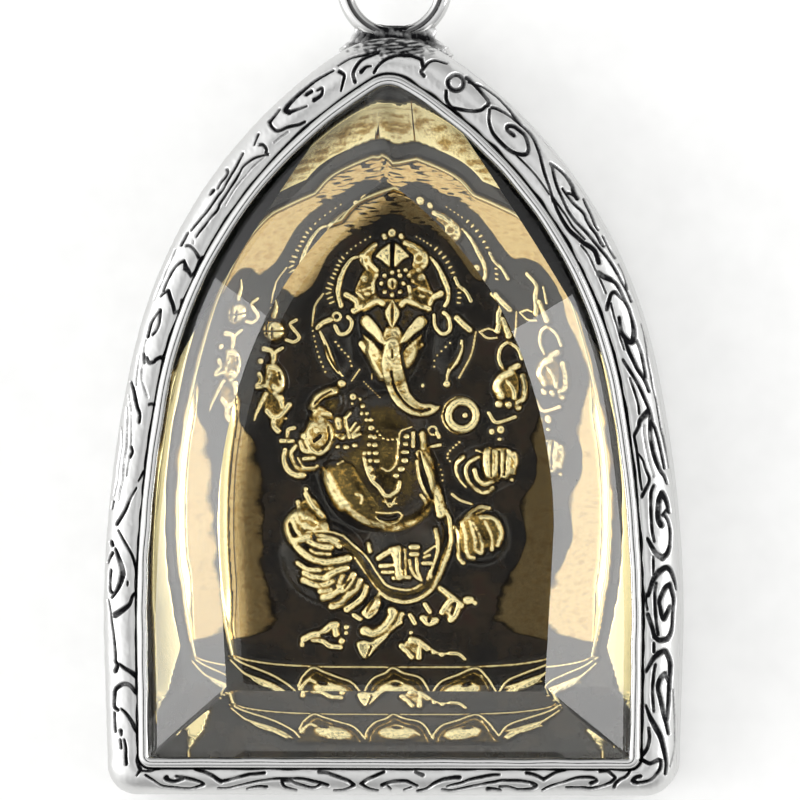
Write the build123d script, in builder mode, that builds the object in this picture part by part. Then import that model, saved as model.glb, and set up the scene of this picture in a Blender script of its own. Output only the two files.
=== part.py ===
from build123d import *
from math import cos, radians, sin, sqrt
import os

import numpy as np

# An arch-shaped silver amulet case with a soldered ring, a thick clear stone held by a thin
# bezel strip, and a cast brass relief plate of a dancing Ganesha under the stone.
# The pendant lies on its back. X runs across it, +Y towards the ring and +Z out of its front.
# The origin is the middle of its outline, on the back face. All lengths are in millimetres.

# Case outline: an arch of three tangent arcs a side over nearly upright lower sides
case_half_width = 14.35
case_rise = 29.1  # from the springing line, where the case is widest, to the point
case_foot_drop = 8.55  # from the springing line to the foot
case_foot_taper = 0.25  # how much narrower each side is at the foot
case_apex_radius = 4.9
case_shoulder_angle = 34.1  # slope where the apex arc meets the shoulder arc
case_side_angle = 77.4  # slope where the shoulder arc meets the side arc

# Case section
case_depth = 8.0
back_wall = 0.8
rim_side = 1.8  # rim's width at the sides, at the point and at the foot
rim_point = 1.9
rim_foot = 1.4
rim_round = 1.35
back_round = 0.9
corner_flat = 0.15  # what the foot's corner radius has over the rim's round

# Hanging ring and the solder saddle under it
ring_inner_radius = 2.1
ring_wire = 0.9
ring_land = 0.55  # flat width worn inside the ring
ring_lift = 2.7  # ring centre above the case's point
saddle_half_width = 2.8
saddle_half_thickness = 1.3
saddle_top_half_width = 1.75
saddle_top_half_thickness = 0.5
saddle_sink = 1.1  # how far the saddle reaches down into the case wall
saddle_top_gap = 0.08  # saddle's top below the ring's opening

# Bezel strip, set in the case's well
bezel_foot_taper = 0.1
bezel_apex_radius = 1.7
bezel_corner_radius = 0.6
bezel_shoulder_angle = 31.4
bezel_side_angle = 79.9
bezel_wall = 0.42
bezel_lip = 0.24  # how far the lip turns in over the stone
bezel_lip_thickness = 0.22
bezel_stand = 0.42  # lip's top above the case's front
clearance = 0.05  # between any two pieces
corner_least = 0.12  # smallest corner radius of an outline moved inwards

# Stone
bevel_side = 3.78  # bevel's width at the sides, at the point and at the foot
bevel_point = 4.9
bevel_foot = 3.43
bevel_rise = 2.75  # from the girdle up to the table
girdle_sink = 0.1  # girdle's top below the case's front
table_lift = 4.75  # table's springing line above the case's
table_foot_taper = 0.45
table_apex_radius = 0.4
table_corner_radius = 0.25
table_shoulder_angle = 35.4
table_side_angle = 67.6

# Relief plate
plate_thickness = 0.75
relief_rise = 1.3  # highest point of the figure above the plate
relief_gap = 0.2  # between the figure's highest point and the stone
floor_drop = 2.1  # floor line below the springing line
panel_point_margin = 5.03  # from the panel's point to the plate's point
panel_side_margin = 1.54  # from the border band to the plate's side
relief_pitch = 0.36  # grid step over the figure
margin_pitch = 1.1  # grid step outside the figure

ring_path_radius = ring_inner_radius + sqrt((ring_wire / 2) ** 2 - (ring_land / 2) ** 2)
overall_length = case_rise + case_foot_drop + ring_lift + ring_path_radius + ring_wire / 2
foot_y = -overall_length / 2
springing_y = foot_y + case_foot_drop
apex_y = springing_y + case_rise
ring_y = apex_y + ring_lift


class Arch:
    """A pointed arch outline: apex arc, shoulder arc and side arc a side, all tangent.

    The apex arc's radius and the slopes at its ends are given. The other two radii follow from
    the half width and the rise, so that the side arc ends upright on the springing line.
    """

    def __init__(self, springing, half_width, rise, foot_drop, foot_taper, apex_radius,
                 corner_radius, shoulder_angle, side_angle):
        self.springing = springing
        self.half_width = half_width
        self.foot = springing - foot_drop
        self.foot_half_width = half_width - foot_taper
        self.corner_radius = corner_radius
        a = radians(shoulder_angle)
        b = radians(side_angle)
        across = half_width - apex_radius * sin(a)
        down = rise - apex_radius * (1 - cos(a))
        spans = np.array([[sin(b) - sin(a), 1 - sin(b)], [cos(a) - cos(b), cos(b)]])
        shoulder_radius, side_radius = np.linalg.solve(spans, [across, down])
        apex_centre = (0.0, springing + rise - apex_radius)
        shoulder_centre = self.step(apex_centre, apex_radius - shoulder_radius, a)
        side_centre = self.step(shoulder_centre, shoulder_radius - side_radius, b)
        self.arcs = [
            (apex_centre, apex_radius, 0.0, a),
            (shoulder_centre, shoulder_radius, a, b),
            (side_centre, side_radius, b, radians(90)),
        ]

    @staticmethod
    def step(point, length, slope):
        """The point reached by going a length along the outward normal of a slope."""
        return (point[0] + length * sin(slope), point[1] + length * cos(slope))

    def draw(self, inset=0.0):
        """Add the closed outline to the open BuildLine, moved inwards by inset."""
        right = []
        for centre, radius, start, end in self.arcs:
            stations = (start, (start + end) / 2, end)
            right.append([self.step(centre, radius - inset, s) for s in stations])
        for first, middle, last in right:
            ThreePointArc(first, middle, last)
        for first, middle, last in right:
            ThreePointArc(*[(-x, y) for x, y in (first, middle, last)])
        side = self.half_width - inset
        corner_x = self.foot_half_width - inset
        corner_y = self.foot + inset
        corner = max(self.corner_radius - inset, corner_least)
        FilletPolyline(
            (side, self.springing), (corner_x, corner_y), (-corner_x, corner_y), (-side, self.springing),
            radius=corner,
        )

    def half_width_at(self, y, inset):
        """Half the width at a height of the outline moved inwards, with the foot's corners."""
        if y <= self.springing:
            share = (self.springing - y) / (self.springing - self.foot)
            side = self.half_width + (self.foot_half_width - self.half_width) * share - inset
            corner = max(self.corner_radius - inset, corner_least)
            short = corner - (y - self.foot - inset)
            if short > 0:
                side -= corner - sqrt(max(corner**2 - short**2, 0.0))
            return side
        for (centre_x, centre_y), full_radius, start, end in self.arcs:
            radius = full_radius - inset
            if centre_y + radius * cos(start) >= y >= centre_y + radius * cos(end) - 1e-9:
                return centre_x + sqrt(max(radius**2 - (y - centre_y) ** 2, 0.0))
        return 0.0


bezel_half_width = case_half_width - rim_side
bezel_rise = case_rise - rim_point
bezel_foot_drop = case_foot_drop - rim_foot
girdle_inset = bezel_wall + clearance
stone_half_width = bezel_half_width - girdle_inset
stone_rise = bezel_rise - girdle_inset
stone_foot_drop = bezel_foot_drop - girdle_inset

case_arch = Arch(
    springing_y, case_half_width, case_rise, case_foot_drop, case_foot_taper,
    case_apex_radius, rim_round + corner_flat, case_shoulder_angle, case_side_angle,
)
bezel_arch = Arch(
    springing_y, bezel_half_width, bezel_rise, bezel_foot_drop, bezel_foot_taper,
    bezel_apex_radius, bezel_corner_radius, bezel_shoulder_angle, bezel_side_angle,
)
table_arch = Arch(
    springing_y + table_lift, stone_half_width - bevel_side, stone_rise - bevel_point - table_lift,
    stone_foot_drop - bevel_foot + table_lift, table_foot_taper,
    table_apex_radius, table_corner_radius, table_shoulder_angle, table_side_angle,
)


# Case: back wall, side wall, rim, ring and saddle in one solid
saddle_foot = Plane((0, apex_y - saddle_sink, case_depth / 2), x_dir=(1, 0, 0), z_dir=(0, 1, 0))
saddle_height = saddle_sink + ring_lift - ring_inner_radius - saddle_top_gap

with BuildPart() as case:
    with BuildSketch():
        with BuildLine():
            case_arch.draw()
        make_face()
    extrude(amount=case_depth)
    fillet(case.faces().sort_by(Axis.Z)[-1].edges(), radius=rim_round)
    fillet(case.faces().sort_by(Axis.Z)[0].edges(), radius=back_round)
    with BuildSketch(Plane.XY.offset(back_wall)):
        with BuildLine():
            bezel_arch.draw(-clearance)
        make_face()
    extrude(amount=case_depth, mode=Mode.SUBTRACT)
    with BuildSketch(saddle_foot):
        Ellipse(saddle_half_width, saddle_half_thickness)
    with BuildSketch(saddle_foot.offset(saddle_height)):
        Ellipse(saddle_top_half_width, saddle_top_half_thickness)
    loft(ruled=True)
    with Locations((0, ring_y, case_depth / 2)):
        Torus(ring_path_radius, ring_wire / 2)
        Cylinder(ring_inner_radius, ring_wire, mode=Mode.SUBTRACT)
case.part.label = "case"


# Bezel: a closed strip round the stone with its lip turned in over the girdle
bezel_top = case_depth + bezel_stand
with BuildPart() as bezel:
    with BuildSketch(Plane.XY.offset(back_wall + clearance)):
        with BuildLine():
            bezel_arch.draw()
        make_face()
        with BuildLine():
            bezel_arch.draw(bezel_wall)
        make_face(mode=Mode.SUBTRACT)
    extrude(amount=bezel_top - back_wall - clearance)
    with BuildSketch(Plane.XY.offset(bezel_top - bezel_lip_thickness)):
        with BuildLine():
            bezel_arch.draw(bezel_wall / 2)
        make_face()
        with BuildLine():
            bezel_arch.draw(bezel_wall + bezel_lip)
        make_face(mode=Mode.SUBTRACT)
    extrude(amount=bezel_lip_thickness)
bezel.part.label = "bezel"


# Stone: upright girdle, then ten bevel facets up to the table
plate_floor = back_wall + clearance
stone_floor = plate_floor + plate_thickness + relief_rise + relief_gap
girdle_height = case_depth - girdle_sink

with BuildPart() as crystal:
    with BuildSketch(Plane.XY.offset(stone_floor)):
        with BuildLine():
            bezel_arch.draw(girdle_inset)
        make_face()
    extrude(amount=girdle_height - stone_floor)
    with BuildSketch(Plane.XY.offset(girdle_height)):
        with BuildLine():
            bezel_arch.draw(girdle_inset)
        make_face()
    with BuildSketch(Plane.XY.offset(girdle_height + bevel_rise)):
        with BuildLine():
            table_arch.draw()
        make_face()
    loft(ruled=True)
crystal.part.label = "crystal"


# The relief's tables are in units: a hundredth of the height from the floor line to the foot
# of the crown's fan, counted from the middle of the floor line. Rises are shares of
# relief_rise. The panel's point and the border band's sides set the unit's two sizes.

# Panel edge from the arch's point to the floor line: a lobe to the cusp, then the side
panel_lobe = [(0, 119), (5.5, 117), (10, 114.5), (13.5, 111)]
panel_side = [
    (13.5, 111), (19.5, 109), (25, 106), (31, 99), (36, 88), (39.5, 76), (42, 63), (44, 50),
    (44.5, 38), (44, 25), (42.5, 12), (40.5, 2),
]
panel_line_half = 0.8
groove_width = 3.6
band_width = 4.6
band_level = 0.34
line_level = 0.42

panel_half_width = max(x for x, _ in panel_side)
across_unit = (stone_half_width - panel_side_margin) / (panel_half_width + groove_width + band_width)
up_unit = (stone_rise + floor_drop - panel_point_margin) / panel_lobe[0][1]
floor_y = springing_y - floor_drop

# Rounded masses of the figure: name, x, y, half width, half height, turn in degrees, rise
masses = [
    ("belly", -4, 46, 15, 13, 12, 0.86),
    ("chest", -3, 61, 12, 9, 0, 0.62),
    ("head", 0, 81, 8.5, 10, 0, 0.86),
    ("forehead", 0, 87, 7, 6, 0, 1.0),
    ("left ear", -15, 79, 6, 9.5, 16, 0.46),
    ("right ear", 15, 78, 6, 9.5, -16, 0.46),
    ("crown", 0, 101, 8.5, 6.5, 0, 0.74),
    ("crown jewel", 0, 95, 3.2, 3.2, 0, 1.0),
    ("finial", -0.5, 108, 2, 2.5, 0, 0.6),
    ("left trouser", -17, 27, 13, 9, -38, 0.78),
    ("left knee", -24, 34, 7, 7, 0, 0.7),
    ("right trouser", 22, 32, 8.5, 7, 20, 0.72),
    ("hips", -1, 29, 13, 8, 0, 0.62),
    ("drape", 1, 26, 6, 6, 0, 0.8),
    ("left pot", -29.5, 83, 3.6, 4, 0, 0.62),
    ("left back hand", -29, 70, 3.2, 6, 0, 0.6),
    ("right flower", 26, 84, 3.2, 6, 0, 0.58),
    ("right back hand", 28, 67, 4, 7, 15, 0.6),
    ("right bowl", 26.5, 50, 7, 6.2, 0, 0.74),
    ("left fist", -16, 58, 5.5, 5, 30, 0.8),
    ("left raised foot", -17, 6.5, 6, 3, -12, 0.6),
    ("right raised foot", 14, 13, 7, 2.6, 14, 0.62),
    ("standing foot", 11, 4, 7, 2.6, -12, 0.62),
    ("toe bell", -7, 4.5, 2.6, 3, 0, 0.6),
]

# Limbs and bands: name, half width at the start, half width at the end, rise, path
bands = [
    ("trunk", 3.4, 2.0, 0.95, [(0, 79), (-1.5, 70), (1, 65), (6, 62.5), (12, 63.5)]),
    ("halo left", 1.3, 1.3, 0.5, [(-5, 104.5), (-10, 101), (-13, 96), (-13.5, 89.5)]),
    ("halo right", 1.3, 1.3, 0.5, [(8, 102), (11.5, 98), (13.5, 94), (13.5, 89.5)]),
    ("left upper arm", 3.6, 3.2, 0.66, [(-12, 66), (-18, 62), (-21, 56)]),
    ("left lower arm", 3.4, 2.8, 0.72, [(-25, 52), (-22, 46), (-15, 50)]),
    ("left back arm", 2.6, 2.2, 0.52, [(-24, 53), (-26, 60), (-28, 68)]),
    ("right back arm", 2.6, 2.2, 0.52, [(14, 60), (22, 57), (26, 62)]),
    ("right lower arm", 3.0, 2.8, 0.62, [(12, 50), (18, 46), (24, 47)]),
    ("left sash", 1.8, 1.6, 0.88, [(-18, 33), (-11, 31), (-6, 25), (-3, 19), (2, 16)]),
    ("right sash", 1.8, 1.6, 0.88, [(6.5, 53), (9.5, 46), (14, 34), (12, 22), (2, 16)]),
    ("standing shin", 2.8, 2.4, 0.66, [(-1, 17), (2, 11), (5, 6)]),
    ("crossed shin", 2.4, 2.2, 0.6, [(3, 14), (-2, 9), (-6, 5)]),
    ("left shin", 3.0, 2.4, 0.6, [(-9, 18), (-11, 13), (-14, 9)]),
    ("right shin", 2.8, 2.4, 0.6, [(6, 18), (8, 15), (11, 13)]),
    ("floor line", 0.8, 0.8, 0.4, [(-40, 2), (-35, 0.4), (-20, -0.2), (20, -0.2), (35, 0.4), (40, 2)]),
]

# Round sweet at the trunk's tip: centre, mean radius and half width of the roll
sweet_centre = (17, 62)
sweet_radius = 3.4
sweet_half = 1.4
sweet_level = 0.7

# Lotus row under the floor line
petal_count = 5
petal_pitch = 16.75
petal_middle = 1.0
petal_top = -0.8
petal_foot = -9.5
petal_line_half = 0.9
petal_level = 0.46


def smooth(points, steps=6):
    """Points on a Catmull-Rom curve through the given ones."""
    knots = np.array(points, float)
    knots = np.vstack([2 * knots[0] - knots[1], knots, 2 * knots[-1] - knots[-2]])
    t = np.linspace(0, 1, steps, endpoint=False)[:, None]
    pieces = []
    for a, b, c, d in zip(knots[:-3], knots[1:-2], knots[2:-1], knots[3:]):
        bend = 2 * a - 5 * b + 4 * c - d
        twist = 3 * (b - c) + d - a
        pieces.append(b + 0.5 * t * (c - a + t * (bend + t * twist)))
    pieces.append(knots[-2:-1])
    return np.vstack(pieces)


def away(x, y, path):
    """Distance of each point from a path, and the share of the path's length passed there."""
    nearest = np.full(x.shape, 1e9)
    passed = np.zeros(x.shape)
    lengths = np.hypot(*np.diff(path, axis=0).T)
    total = lengths.sum()
    done = 0.0
    for (ax, ay), (bx, by), length in zip(path[:-1], path[1:], lengths):
        share = ((x - ax) * (bx - ax) + (y - ay) * (by - ay)) / length**2
        share = np.clip(share, 0, 1)
        gap = np.hypot(x - ax - share * (bx - ax), y - ay - share * (by - ay))
        closer = gap < nearest
        nearest = np.where(closer, gap, nearest)
        passed = np.where(closer, (done + share * length) / total, passed)
        done += length
    return nearest, passed


def round_top(share):
    """Height of a half-round section at a share of its half width."""
    return np.sqrt(np.clip(1 - share**2, 0, None))


def mass_height(x, y, centre_x, centre_y, half_x, half_y, turn, rise):
    """A rounded dome over a turned ellipse."""
    a = radians(turn)
    along = (x - centre_x) * cos(a) + (y - centre_y) * sin(a)
    across = (y - centre_y) * cos(a) - (x - centre_x) * sin(a)
    return rise * round_top(np.hypot(along / half_x, across / half_y))


def band_height(x, y, start_half, end_half, rise, points):
    """A half-round band along a smooth path, its width changing evenly from end to end."""
    gap, passed = away(x, y, smooth(points))
    half = start_half + (end_half - start_half) * passed
    return rise * round_top(gap / half)


def panel_outline():
    """The panel's closed edge, from the left foot over the cusped arch to the right foot."""
    right = np.vstack([smooth(panel_lobe)[:-1], smooth(panel_side)])
    left = right[::-1] * (-1, 1)
    return np.vstack([left, right[1:]])


def inside(x, y, outline):
    """True for each point that lies inside a closed outline."""
    crossings = np.zeros(x.shape, int)
    for (ax, ay), (bx, by) in zip(outline, np.roll(outline, -1, axis=0)):
        spans = (ay > y) != (by > y)
        if ay != by:
            crossings += spans & (x < ax + (y - ay) * (bx - ax) / (by - ay))
    return crossings % 2 == 1


def border_height(x, y):
    """The panel's thin line, the groove outside it and the raised band outside that."""
    outline = panel_outline()
    gap, passed = away(x, y, outline)
    line = line_level * round_top(gap / panel_line_half)
    outside = ~inside(x, y, outline) & (y > petal_top)
    band = outside & (gap > groove_width) & (gap < groove_width + band_width)
    return np.maximum(line, np.where(band, band_level, 0))


def lotus_height(x, y):
    """A row of pointed petals, each a raised edge round a low leaf."""
    height = np.zeros(x.shape)
    middle = (petal_count - 1) / 2
    for i in range(petal_count):
        centre = petal_middle + (i - middle) * petal_pitch
        half = petal_pitch / 2
        edge = [
            (centre - half, petal_foot + 3), (centre - half * 0.7, petal_top - 2.2), (centre, petal_top),
            (centre + half * 0.7, petal_top - 2.2), (centre + half, petal_foot + 3),
        ]
        height = np.maximum(height, band_height(x, y, petal_line_half, petal_line_half, petal_level, edge))
        leaf = mass_height(x, y, centre, petal_foot + 3, half * 0.6, 3.4, 0, petal_level * 0.8)
        height = np.maximum(height, leaf)
    return height


def relief_height(x, y):
    """Height of the whole relief above the plate, for points in units."""
    height = np.maximum(border_height(x, y), lotus_height(x, y))
    for _, centre_x, centre_y, half_x, half_y, turn, rise in masses:
        height = np.maximum(height, mass_height(x, y, centre_x, centre_y, half_x, half_y, turn, rise))
    for _, start_half, end_half, rise, points in bands:
        height = np.maximum(height, band_height(x, y, start_half, end_half, rise, points))
    from_sweet = np.hypot(x - sweet_centre[0], y - sweet_centre[1])
    roll = sweet_level * round_top((from_sweet - sweet_radius) / sweet_half)
    return np.maximum(height, roll) * relief_rise


def spread(start, end, pitch):
    """Even stations from start up to end, without the end."""
    count = max(round((end - start) / pitch), 1)
    return [start + (end - start) * i / count for i in range(count)]


def plate_rows():
    """Heights of the grid's rows: close over the figure, and closing up on the arch's point."""
    foot = bezel_arch.foot + girdle_inset
    point = springing_y + stone_rise
    corner = max(bezel_corner_radius - girdle_inset, corner_least)
    petal_foot_y = floor_y + petal_foot * up_unit
    figure_top = floor_y + (panel_lobe[0][1] + groove_width) * up_unit
    rows = [foot + corner * share for share in (0, 0.3, 1)]
    rows += spread(rows[-1], petal_foot_y, margin_pitch)[1:]
    rows += spread(petal_foot_y, figure_top, relief_pitch)
    rows += spread(figure_top, point, margin_pitch)
    rows += [point - (point - rows[-1]) * share for share in (0.5, 0.2, 0.05)]
    return rows, point


def plate_mesh():
    """Rows of points over the plate: their places, with the relief's heights."""
    rows, point = plate_rows()
    edge = stone_half_width
    half_panel = edge - panel_side_margin
    left = spread(-edge, -half_panel, margin_pitch)
    fine = spread(-half_panel, half_panel, relief_pitch) + [half_panel]
    columns = np.array(left + fine + [-x for x in reversed(left)]) / edge
    half = np.array([bezel_arch.half_width_at(y, girdle_inset) for y in rows])
    grid_x = half[:, None] * columns[None, :]
    grid_y = np.array(rows)[:, None] + np.zeros_like(grid_x)
    height = relief_height(grid_x / across_unit, (grid_y - floor_y) / up_unit)
    height[:, [0, -1]] = 0
    height[0, :] = 0
    top = plate_floor + plate_thickness
    return np.dstack([grid_x, grid_y, top + height]), (0.0, point, top)


def plate_faces():
    """Triangles of the relief, upright walls and the flat underside of the plate."""
    grid, point = plate_mesh()
    row_count, column_count = grid.shape[:2]
    spots = [[tuple(spot) for spot in row] for row in grid.tolist()]
    faces = []
    for lower, upper in zip(spots[:-1], spots[1:]):
        for j in range(column_count - 1):
            faces.append([lower[j], lower[j + 1], upper[j + 1]])
            faces.append([lower[j], upper[j + 1], upper[j]])
    for a, b in zip(spots[-1][:-1], spots[-1][1:]):
        faces.append([a, b, point])
    edge = spots[0][:-1] + [row[-1] for row in spots] + [point]
    edge += [row[0] for row in spots[:0:-1]]
    feet = [(x, y, plate_floor) for x, y, _ in edge]
    for i in range(len(edge)):
        k = (i + 1) % len(edge)
        faces.append([edge[i], feet[i], feet[k], edge[k]])
    faces.append(feet[::-1])
    return [Face(Wire.make_polygon(corners)) for corners in faces]


with BuildPart() as relief_plate:
    add(Solid(Shell(plate_faces())))
relief_plate.part.label = "relief_plate"


os.makedirs("parts", exist_ok=True)
export_step(case.part, "parts/case.step")
export_step(bezel.part, "parts/bezel.step")
export_step(crystal.part, "parts/crystal.step")
export_step(relief_plate.part, "parts/relief_plate.step")
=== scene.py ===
from math import atan, atan2, cos, pi, radians, sin, sqrt

import bpy
import numpy as np
from bpy.props import FloatProperty, FloatVectorProperty, PointerProperty
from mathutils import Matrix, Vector


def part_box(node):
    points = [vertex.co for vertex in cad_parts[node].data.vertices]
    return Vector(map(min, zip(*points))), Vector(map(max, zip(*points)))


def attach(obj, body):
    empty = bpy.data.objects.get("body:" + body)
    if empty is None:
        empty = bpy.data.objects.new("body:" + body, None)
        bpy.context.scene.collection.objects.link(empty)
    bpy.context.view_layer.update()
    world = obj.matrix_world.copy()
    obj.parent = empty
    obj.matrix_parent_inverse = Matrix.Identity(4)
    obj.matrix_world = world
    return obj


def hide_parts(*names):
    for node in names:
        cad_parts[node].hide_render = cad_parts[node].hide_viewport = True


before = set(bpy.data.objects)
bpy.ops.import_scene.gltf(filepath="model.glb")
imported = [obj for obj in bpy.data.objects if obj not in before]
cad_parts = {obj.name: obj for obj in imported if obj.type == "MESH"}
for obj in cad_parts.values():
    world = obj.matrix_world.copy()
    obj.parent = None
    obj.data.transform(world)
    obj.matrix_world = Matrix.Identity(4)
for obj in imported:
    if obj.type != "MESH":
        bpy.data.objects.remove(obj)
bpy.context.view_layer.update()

bl_info = {
    "name": "Ganesha Amulet Finish",
    "version": (1, 0, 0),
    "blender": (4, 5, 0),
    "location": "View3D > Sidebar > Amulet",
    "description": "Engraves, casts, cuts and finishes the pieces of a Ganesha amulet pendant",
    "category": "Object",
}

MM = 0.001

# The pendant lies on its back: X across, +Y towards the ring, +Z out of its front.
# Lengths are in millimetres until a mesh is filled.

# The camera stands this far from a spot in the pendant and leans to the right of its front.
VIEW_ANGLE = radians(3.8)
VIEW_DISTANCE = 450.0
VIEW_AIM = (0.275, -1.985, 4.0)
FRAME_WIDTH = 40.0
SENSOR = 36.0

# Patterns are drawn on charts: x runs right, y runs down and a unit is a twentieth of a millimetre.
# The plate's chart is flat, with its middle line at PLATE_CHART_X. The rim's is drawn as the camera
# sees it, with the spot that the camera aims at in its middle.
CHART_UNIT = 0.05
PLATE_CHART_X = 393.0
PLATE_CHART_Y = 360.3  # at height 0 of the pendant
RIM_CHART_MIDDLE = 400  # both ways


def rim_chart(x, y, z):
    """Rim chart places of spots: turned by the camera's lean, and scaled as their distance asks."""
    x, z = x - VIEW_AIM[0], z - VIEW_AIM[2]
    nearer = x * sin(VIEW_ANGLE) + z * cos(VIEW_ANGLE)
    scale = VIEW_DISTANCE / (VIEW_DISTANCE - nearer) / CHART_UNIT
    across = x * cos(VIEW_ANGLE) - z * sin(VIEW_ANGLE)
    return RIM_CHART_MIDDLE + across * scale, RIM_CHART_MIDDLE - (y - VIEW_AIM[1]) * scale


def linear(code):
    """A linear colour with full alpha from an sRGB hex code: a straight part, then a power of 2.4."""
    parts = [int(code[i:i + 2], 16) / 255 for i in (1, 3, 5)]
    return tuple(c / 12.92 if c <= 0.04045 else ((c + 0.055) / 1.055) ** 2.4 for c in parts) + (1.0,)


def length(name, description, default):
    """A length property with its default in millimetres."""
    return FloatProperty(
        name=name, description=description, default=default * MM, unit="LENGTH", precision=6,
    )


def colour(name, description, code):
    """A colour property with its default as a hex code."""
    return FloatVectorProperty(
        name=name, description=description, default=linear(code), size=4, subtype="COLOR", min=0, max=1,
    )


class AmuletSizes(bpy.types.PropertyGroup):
    """Sizes of the finish."""

    engraving_depth: length("Engraving depth", "Depth of the scroll cuts in the rim", 0.13)
    rim_crown: length("Rim crown", "How far the rim's top falls to its inner edge", 0.10)
    hand_wear: length("Hand wear", "Unevenness of the rim's filed lands", 0.008)
    rim_pitch: length("Rim pitch", "Grid step along the engraved rim", 0.046)
    relief_pitch: length("Relief pitch", "Grid step across the cast relief", 0.062)
    lip_wave: length("Lip wave", "Unevenness of the burnished lip", 0.018)


class AmuletColours(bpy.types.PropertyGroup):
    """Colours of the finish."""

    silver: colour("Silver", "Polished silver", "#d0d0cf")
    oxide: colour("Oxide", "Blackened silver in the cuts", "#19191b")
    brass: colour("Brass", "Worn high brass", "#ffefba")
    old_brass: colour("Old brass", "Brass that keeps some patina", "#b28f4a")
    brown: colour("Brown", "Thin patina", "#3b2a16")
    patina: colour("Patina", "Full black patina on brass", "#171413")
    paper: colour("Floor", "Pale studio paper", "#f6f6f5")


# Outlines

class Arch:
    """A pointed arch outline, with the same stations at every inset.

    A station t from 0 to 4 runs down the right half: up to 1 over three tangent arcs, as the
    slope goes from level to upright, up to 2 down the straight side, up to 3 round the foot's
    corner and up to 4 along the foot to its middle. The two lower arcs' radii are those with
    which the three reach from the point to the springing.
    """

    def __init__(self, springing, half_width, rise, foot_drop, foot_taper, apex_radius,
                 corner_radius, corner_least, shoulder_angle, side_angle):
        self.springing = springing
        self.half_width = half_width
        self.foot = springing - foot_drop
        self.foot_half_width = half_width - foot_taper
        self.corner = corner_radius
        self.corner_least = corner_least
        self.lean = atan(foot_taper / foot_drop)
        a, b = radians(shoulder_angle), radians(side_angle)
        across = half_width - apex_radius * sin(a)
        down = rise - apex_radius * (1 - cos(a))
        spans = np.array([[sin(b) - sin(a), 1 - sin(b)], [cos(a) - cos(b), cos(b)]])
        shoulder_radius, side_radius = np.linalg.solve(spans, [across, down])
        apex_y = springing + rise - apex_radius
        shoulder_x = (apex_radius - shoulder_radius) * sin(a)
        shoulder_y = apex_y + (apex_radius - shoulder_radius) * cos(a)
        side_x = shoulder_x + (shoulder_radius - side_radius) * sin(b)
        side_y = shoulder_y + (shoulder_radius - side_radius) * cos(b)
        self.radii = np.array([apex_radius, shoulder_radius, side_radius])
        self.centres_x = np.array([0.0, shoulder_x, side_x])
        self.centres_y = np.array([apex_y, shoulder_y, side_y])
        self.breaks = np.array([a, b])

    def at(self, t, inset=0.0):
        """Places and outward normals at stations of the outline moved inwards, as (n, 4).

        An arc's place is its centre and its radius along the slope's normal. The side is a
        straight line from the springing to the corner's arc.
        """
        t = np.asarray(t, float)
        slope = np.clip(t, 0, 1) * pi / 2
        arc = np.searchsorted(self.breaks, slope)
        radius = self.radii[arc] - inset
        x = self.centres_x[arc] + radius * np.sin(slope)
        y = self.centres_y[arc] + radius * np.cos(slope)
        turn = slope
        corner = max(self.corner - inset, self.corner_least)
        foot = self.foot + inset
        centre_y = foot + corner
        line_x = self.foot_half_width - inset + (centre_y - foot) * self.lean
        centre_x = line_x - corner / cos(self.lean)
        upright = pi / 2 + self.lean
        side = t > 1
        share = np.clip(t - 1, 0, 1)
        end_x = centre_x + corner * sin(upright)
        end_y = centre_y + corner * cos(upright)
        x = np.where(side, (self.half_width - inset) * (1 - share) + end_x * share, x)
        y = np.where(side, self.springing * (1 - share) + end_y * share, y)
        # The normal turns to the side's own over its first eighth
        turn = np.where(side, pi / 2 + self.lean * np.minimum(share * 8, 1), turn)
        bend = t > 2
        angle = upright + (pi - upright) * np.clip(t - 2, 0, 1)
        x = np.where(bend, centre_x + corner * np.sin(angle), x)
        y = np.where(bend, centre_y + corner * np.cos(angle), y)
        turn = np.where(bend, angle, turn)
        level = t > 3
        x = np.where(level, centre_x * (4 - t), x)
        y = np.where(level, foot, y)
        turn = np.where(level, pi, turn)
        return np.stack([x, y, np.sin(turn), np.cos(turn)], -1)

    def stations(self, pitch):
        """Stations at an even pitch down the right half."""
        fine = np.linspace(0, 4, 4001)
        spots = self.at(fine)[:, :2]
        run = np.concatenate([[0], np.cumsum(np.hypot(*np.diff(spots, axis=0).T))])
        return np.interp(np.linspace(0, run[-1], round(run[-1] / pitch) + 1), run, fine)

    def loop(self, t, inset=0.0):
        """The whole closed outline clockwise from the point: the right half, then the left."""
        right = self.at(t, inset)
        left = right[-2:0:-1] * (-1, 1, -1, 1)
        return np.vstack([right, left])

    def half_width_at(self, y, inset):
        """Half the width of the outline moved inwards at each height."""
        edge = self.at(np.linspace(0, 3, 3001), inset)
        order = np.argsort(edge[:, 1])
        return np.interp(y, edge[order, 1], edge[order, 0])


CASE_LOW, CASE_HIGH = (np.array(corner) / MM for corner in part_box("case"))
BEZEL_LOW, BEZEL_HIGH = (np.array(corner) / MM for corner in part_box("bezel"))
STONE_LOW, STONE_HIGH = (np.array(corner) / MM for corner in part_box("crystal"))
PLATE_LOW = np.array(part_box("relief_plate")[0]) / MM

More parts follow.
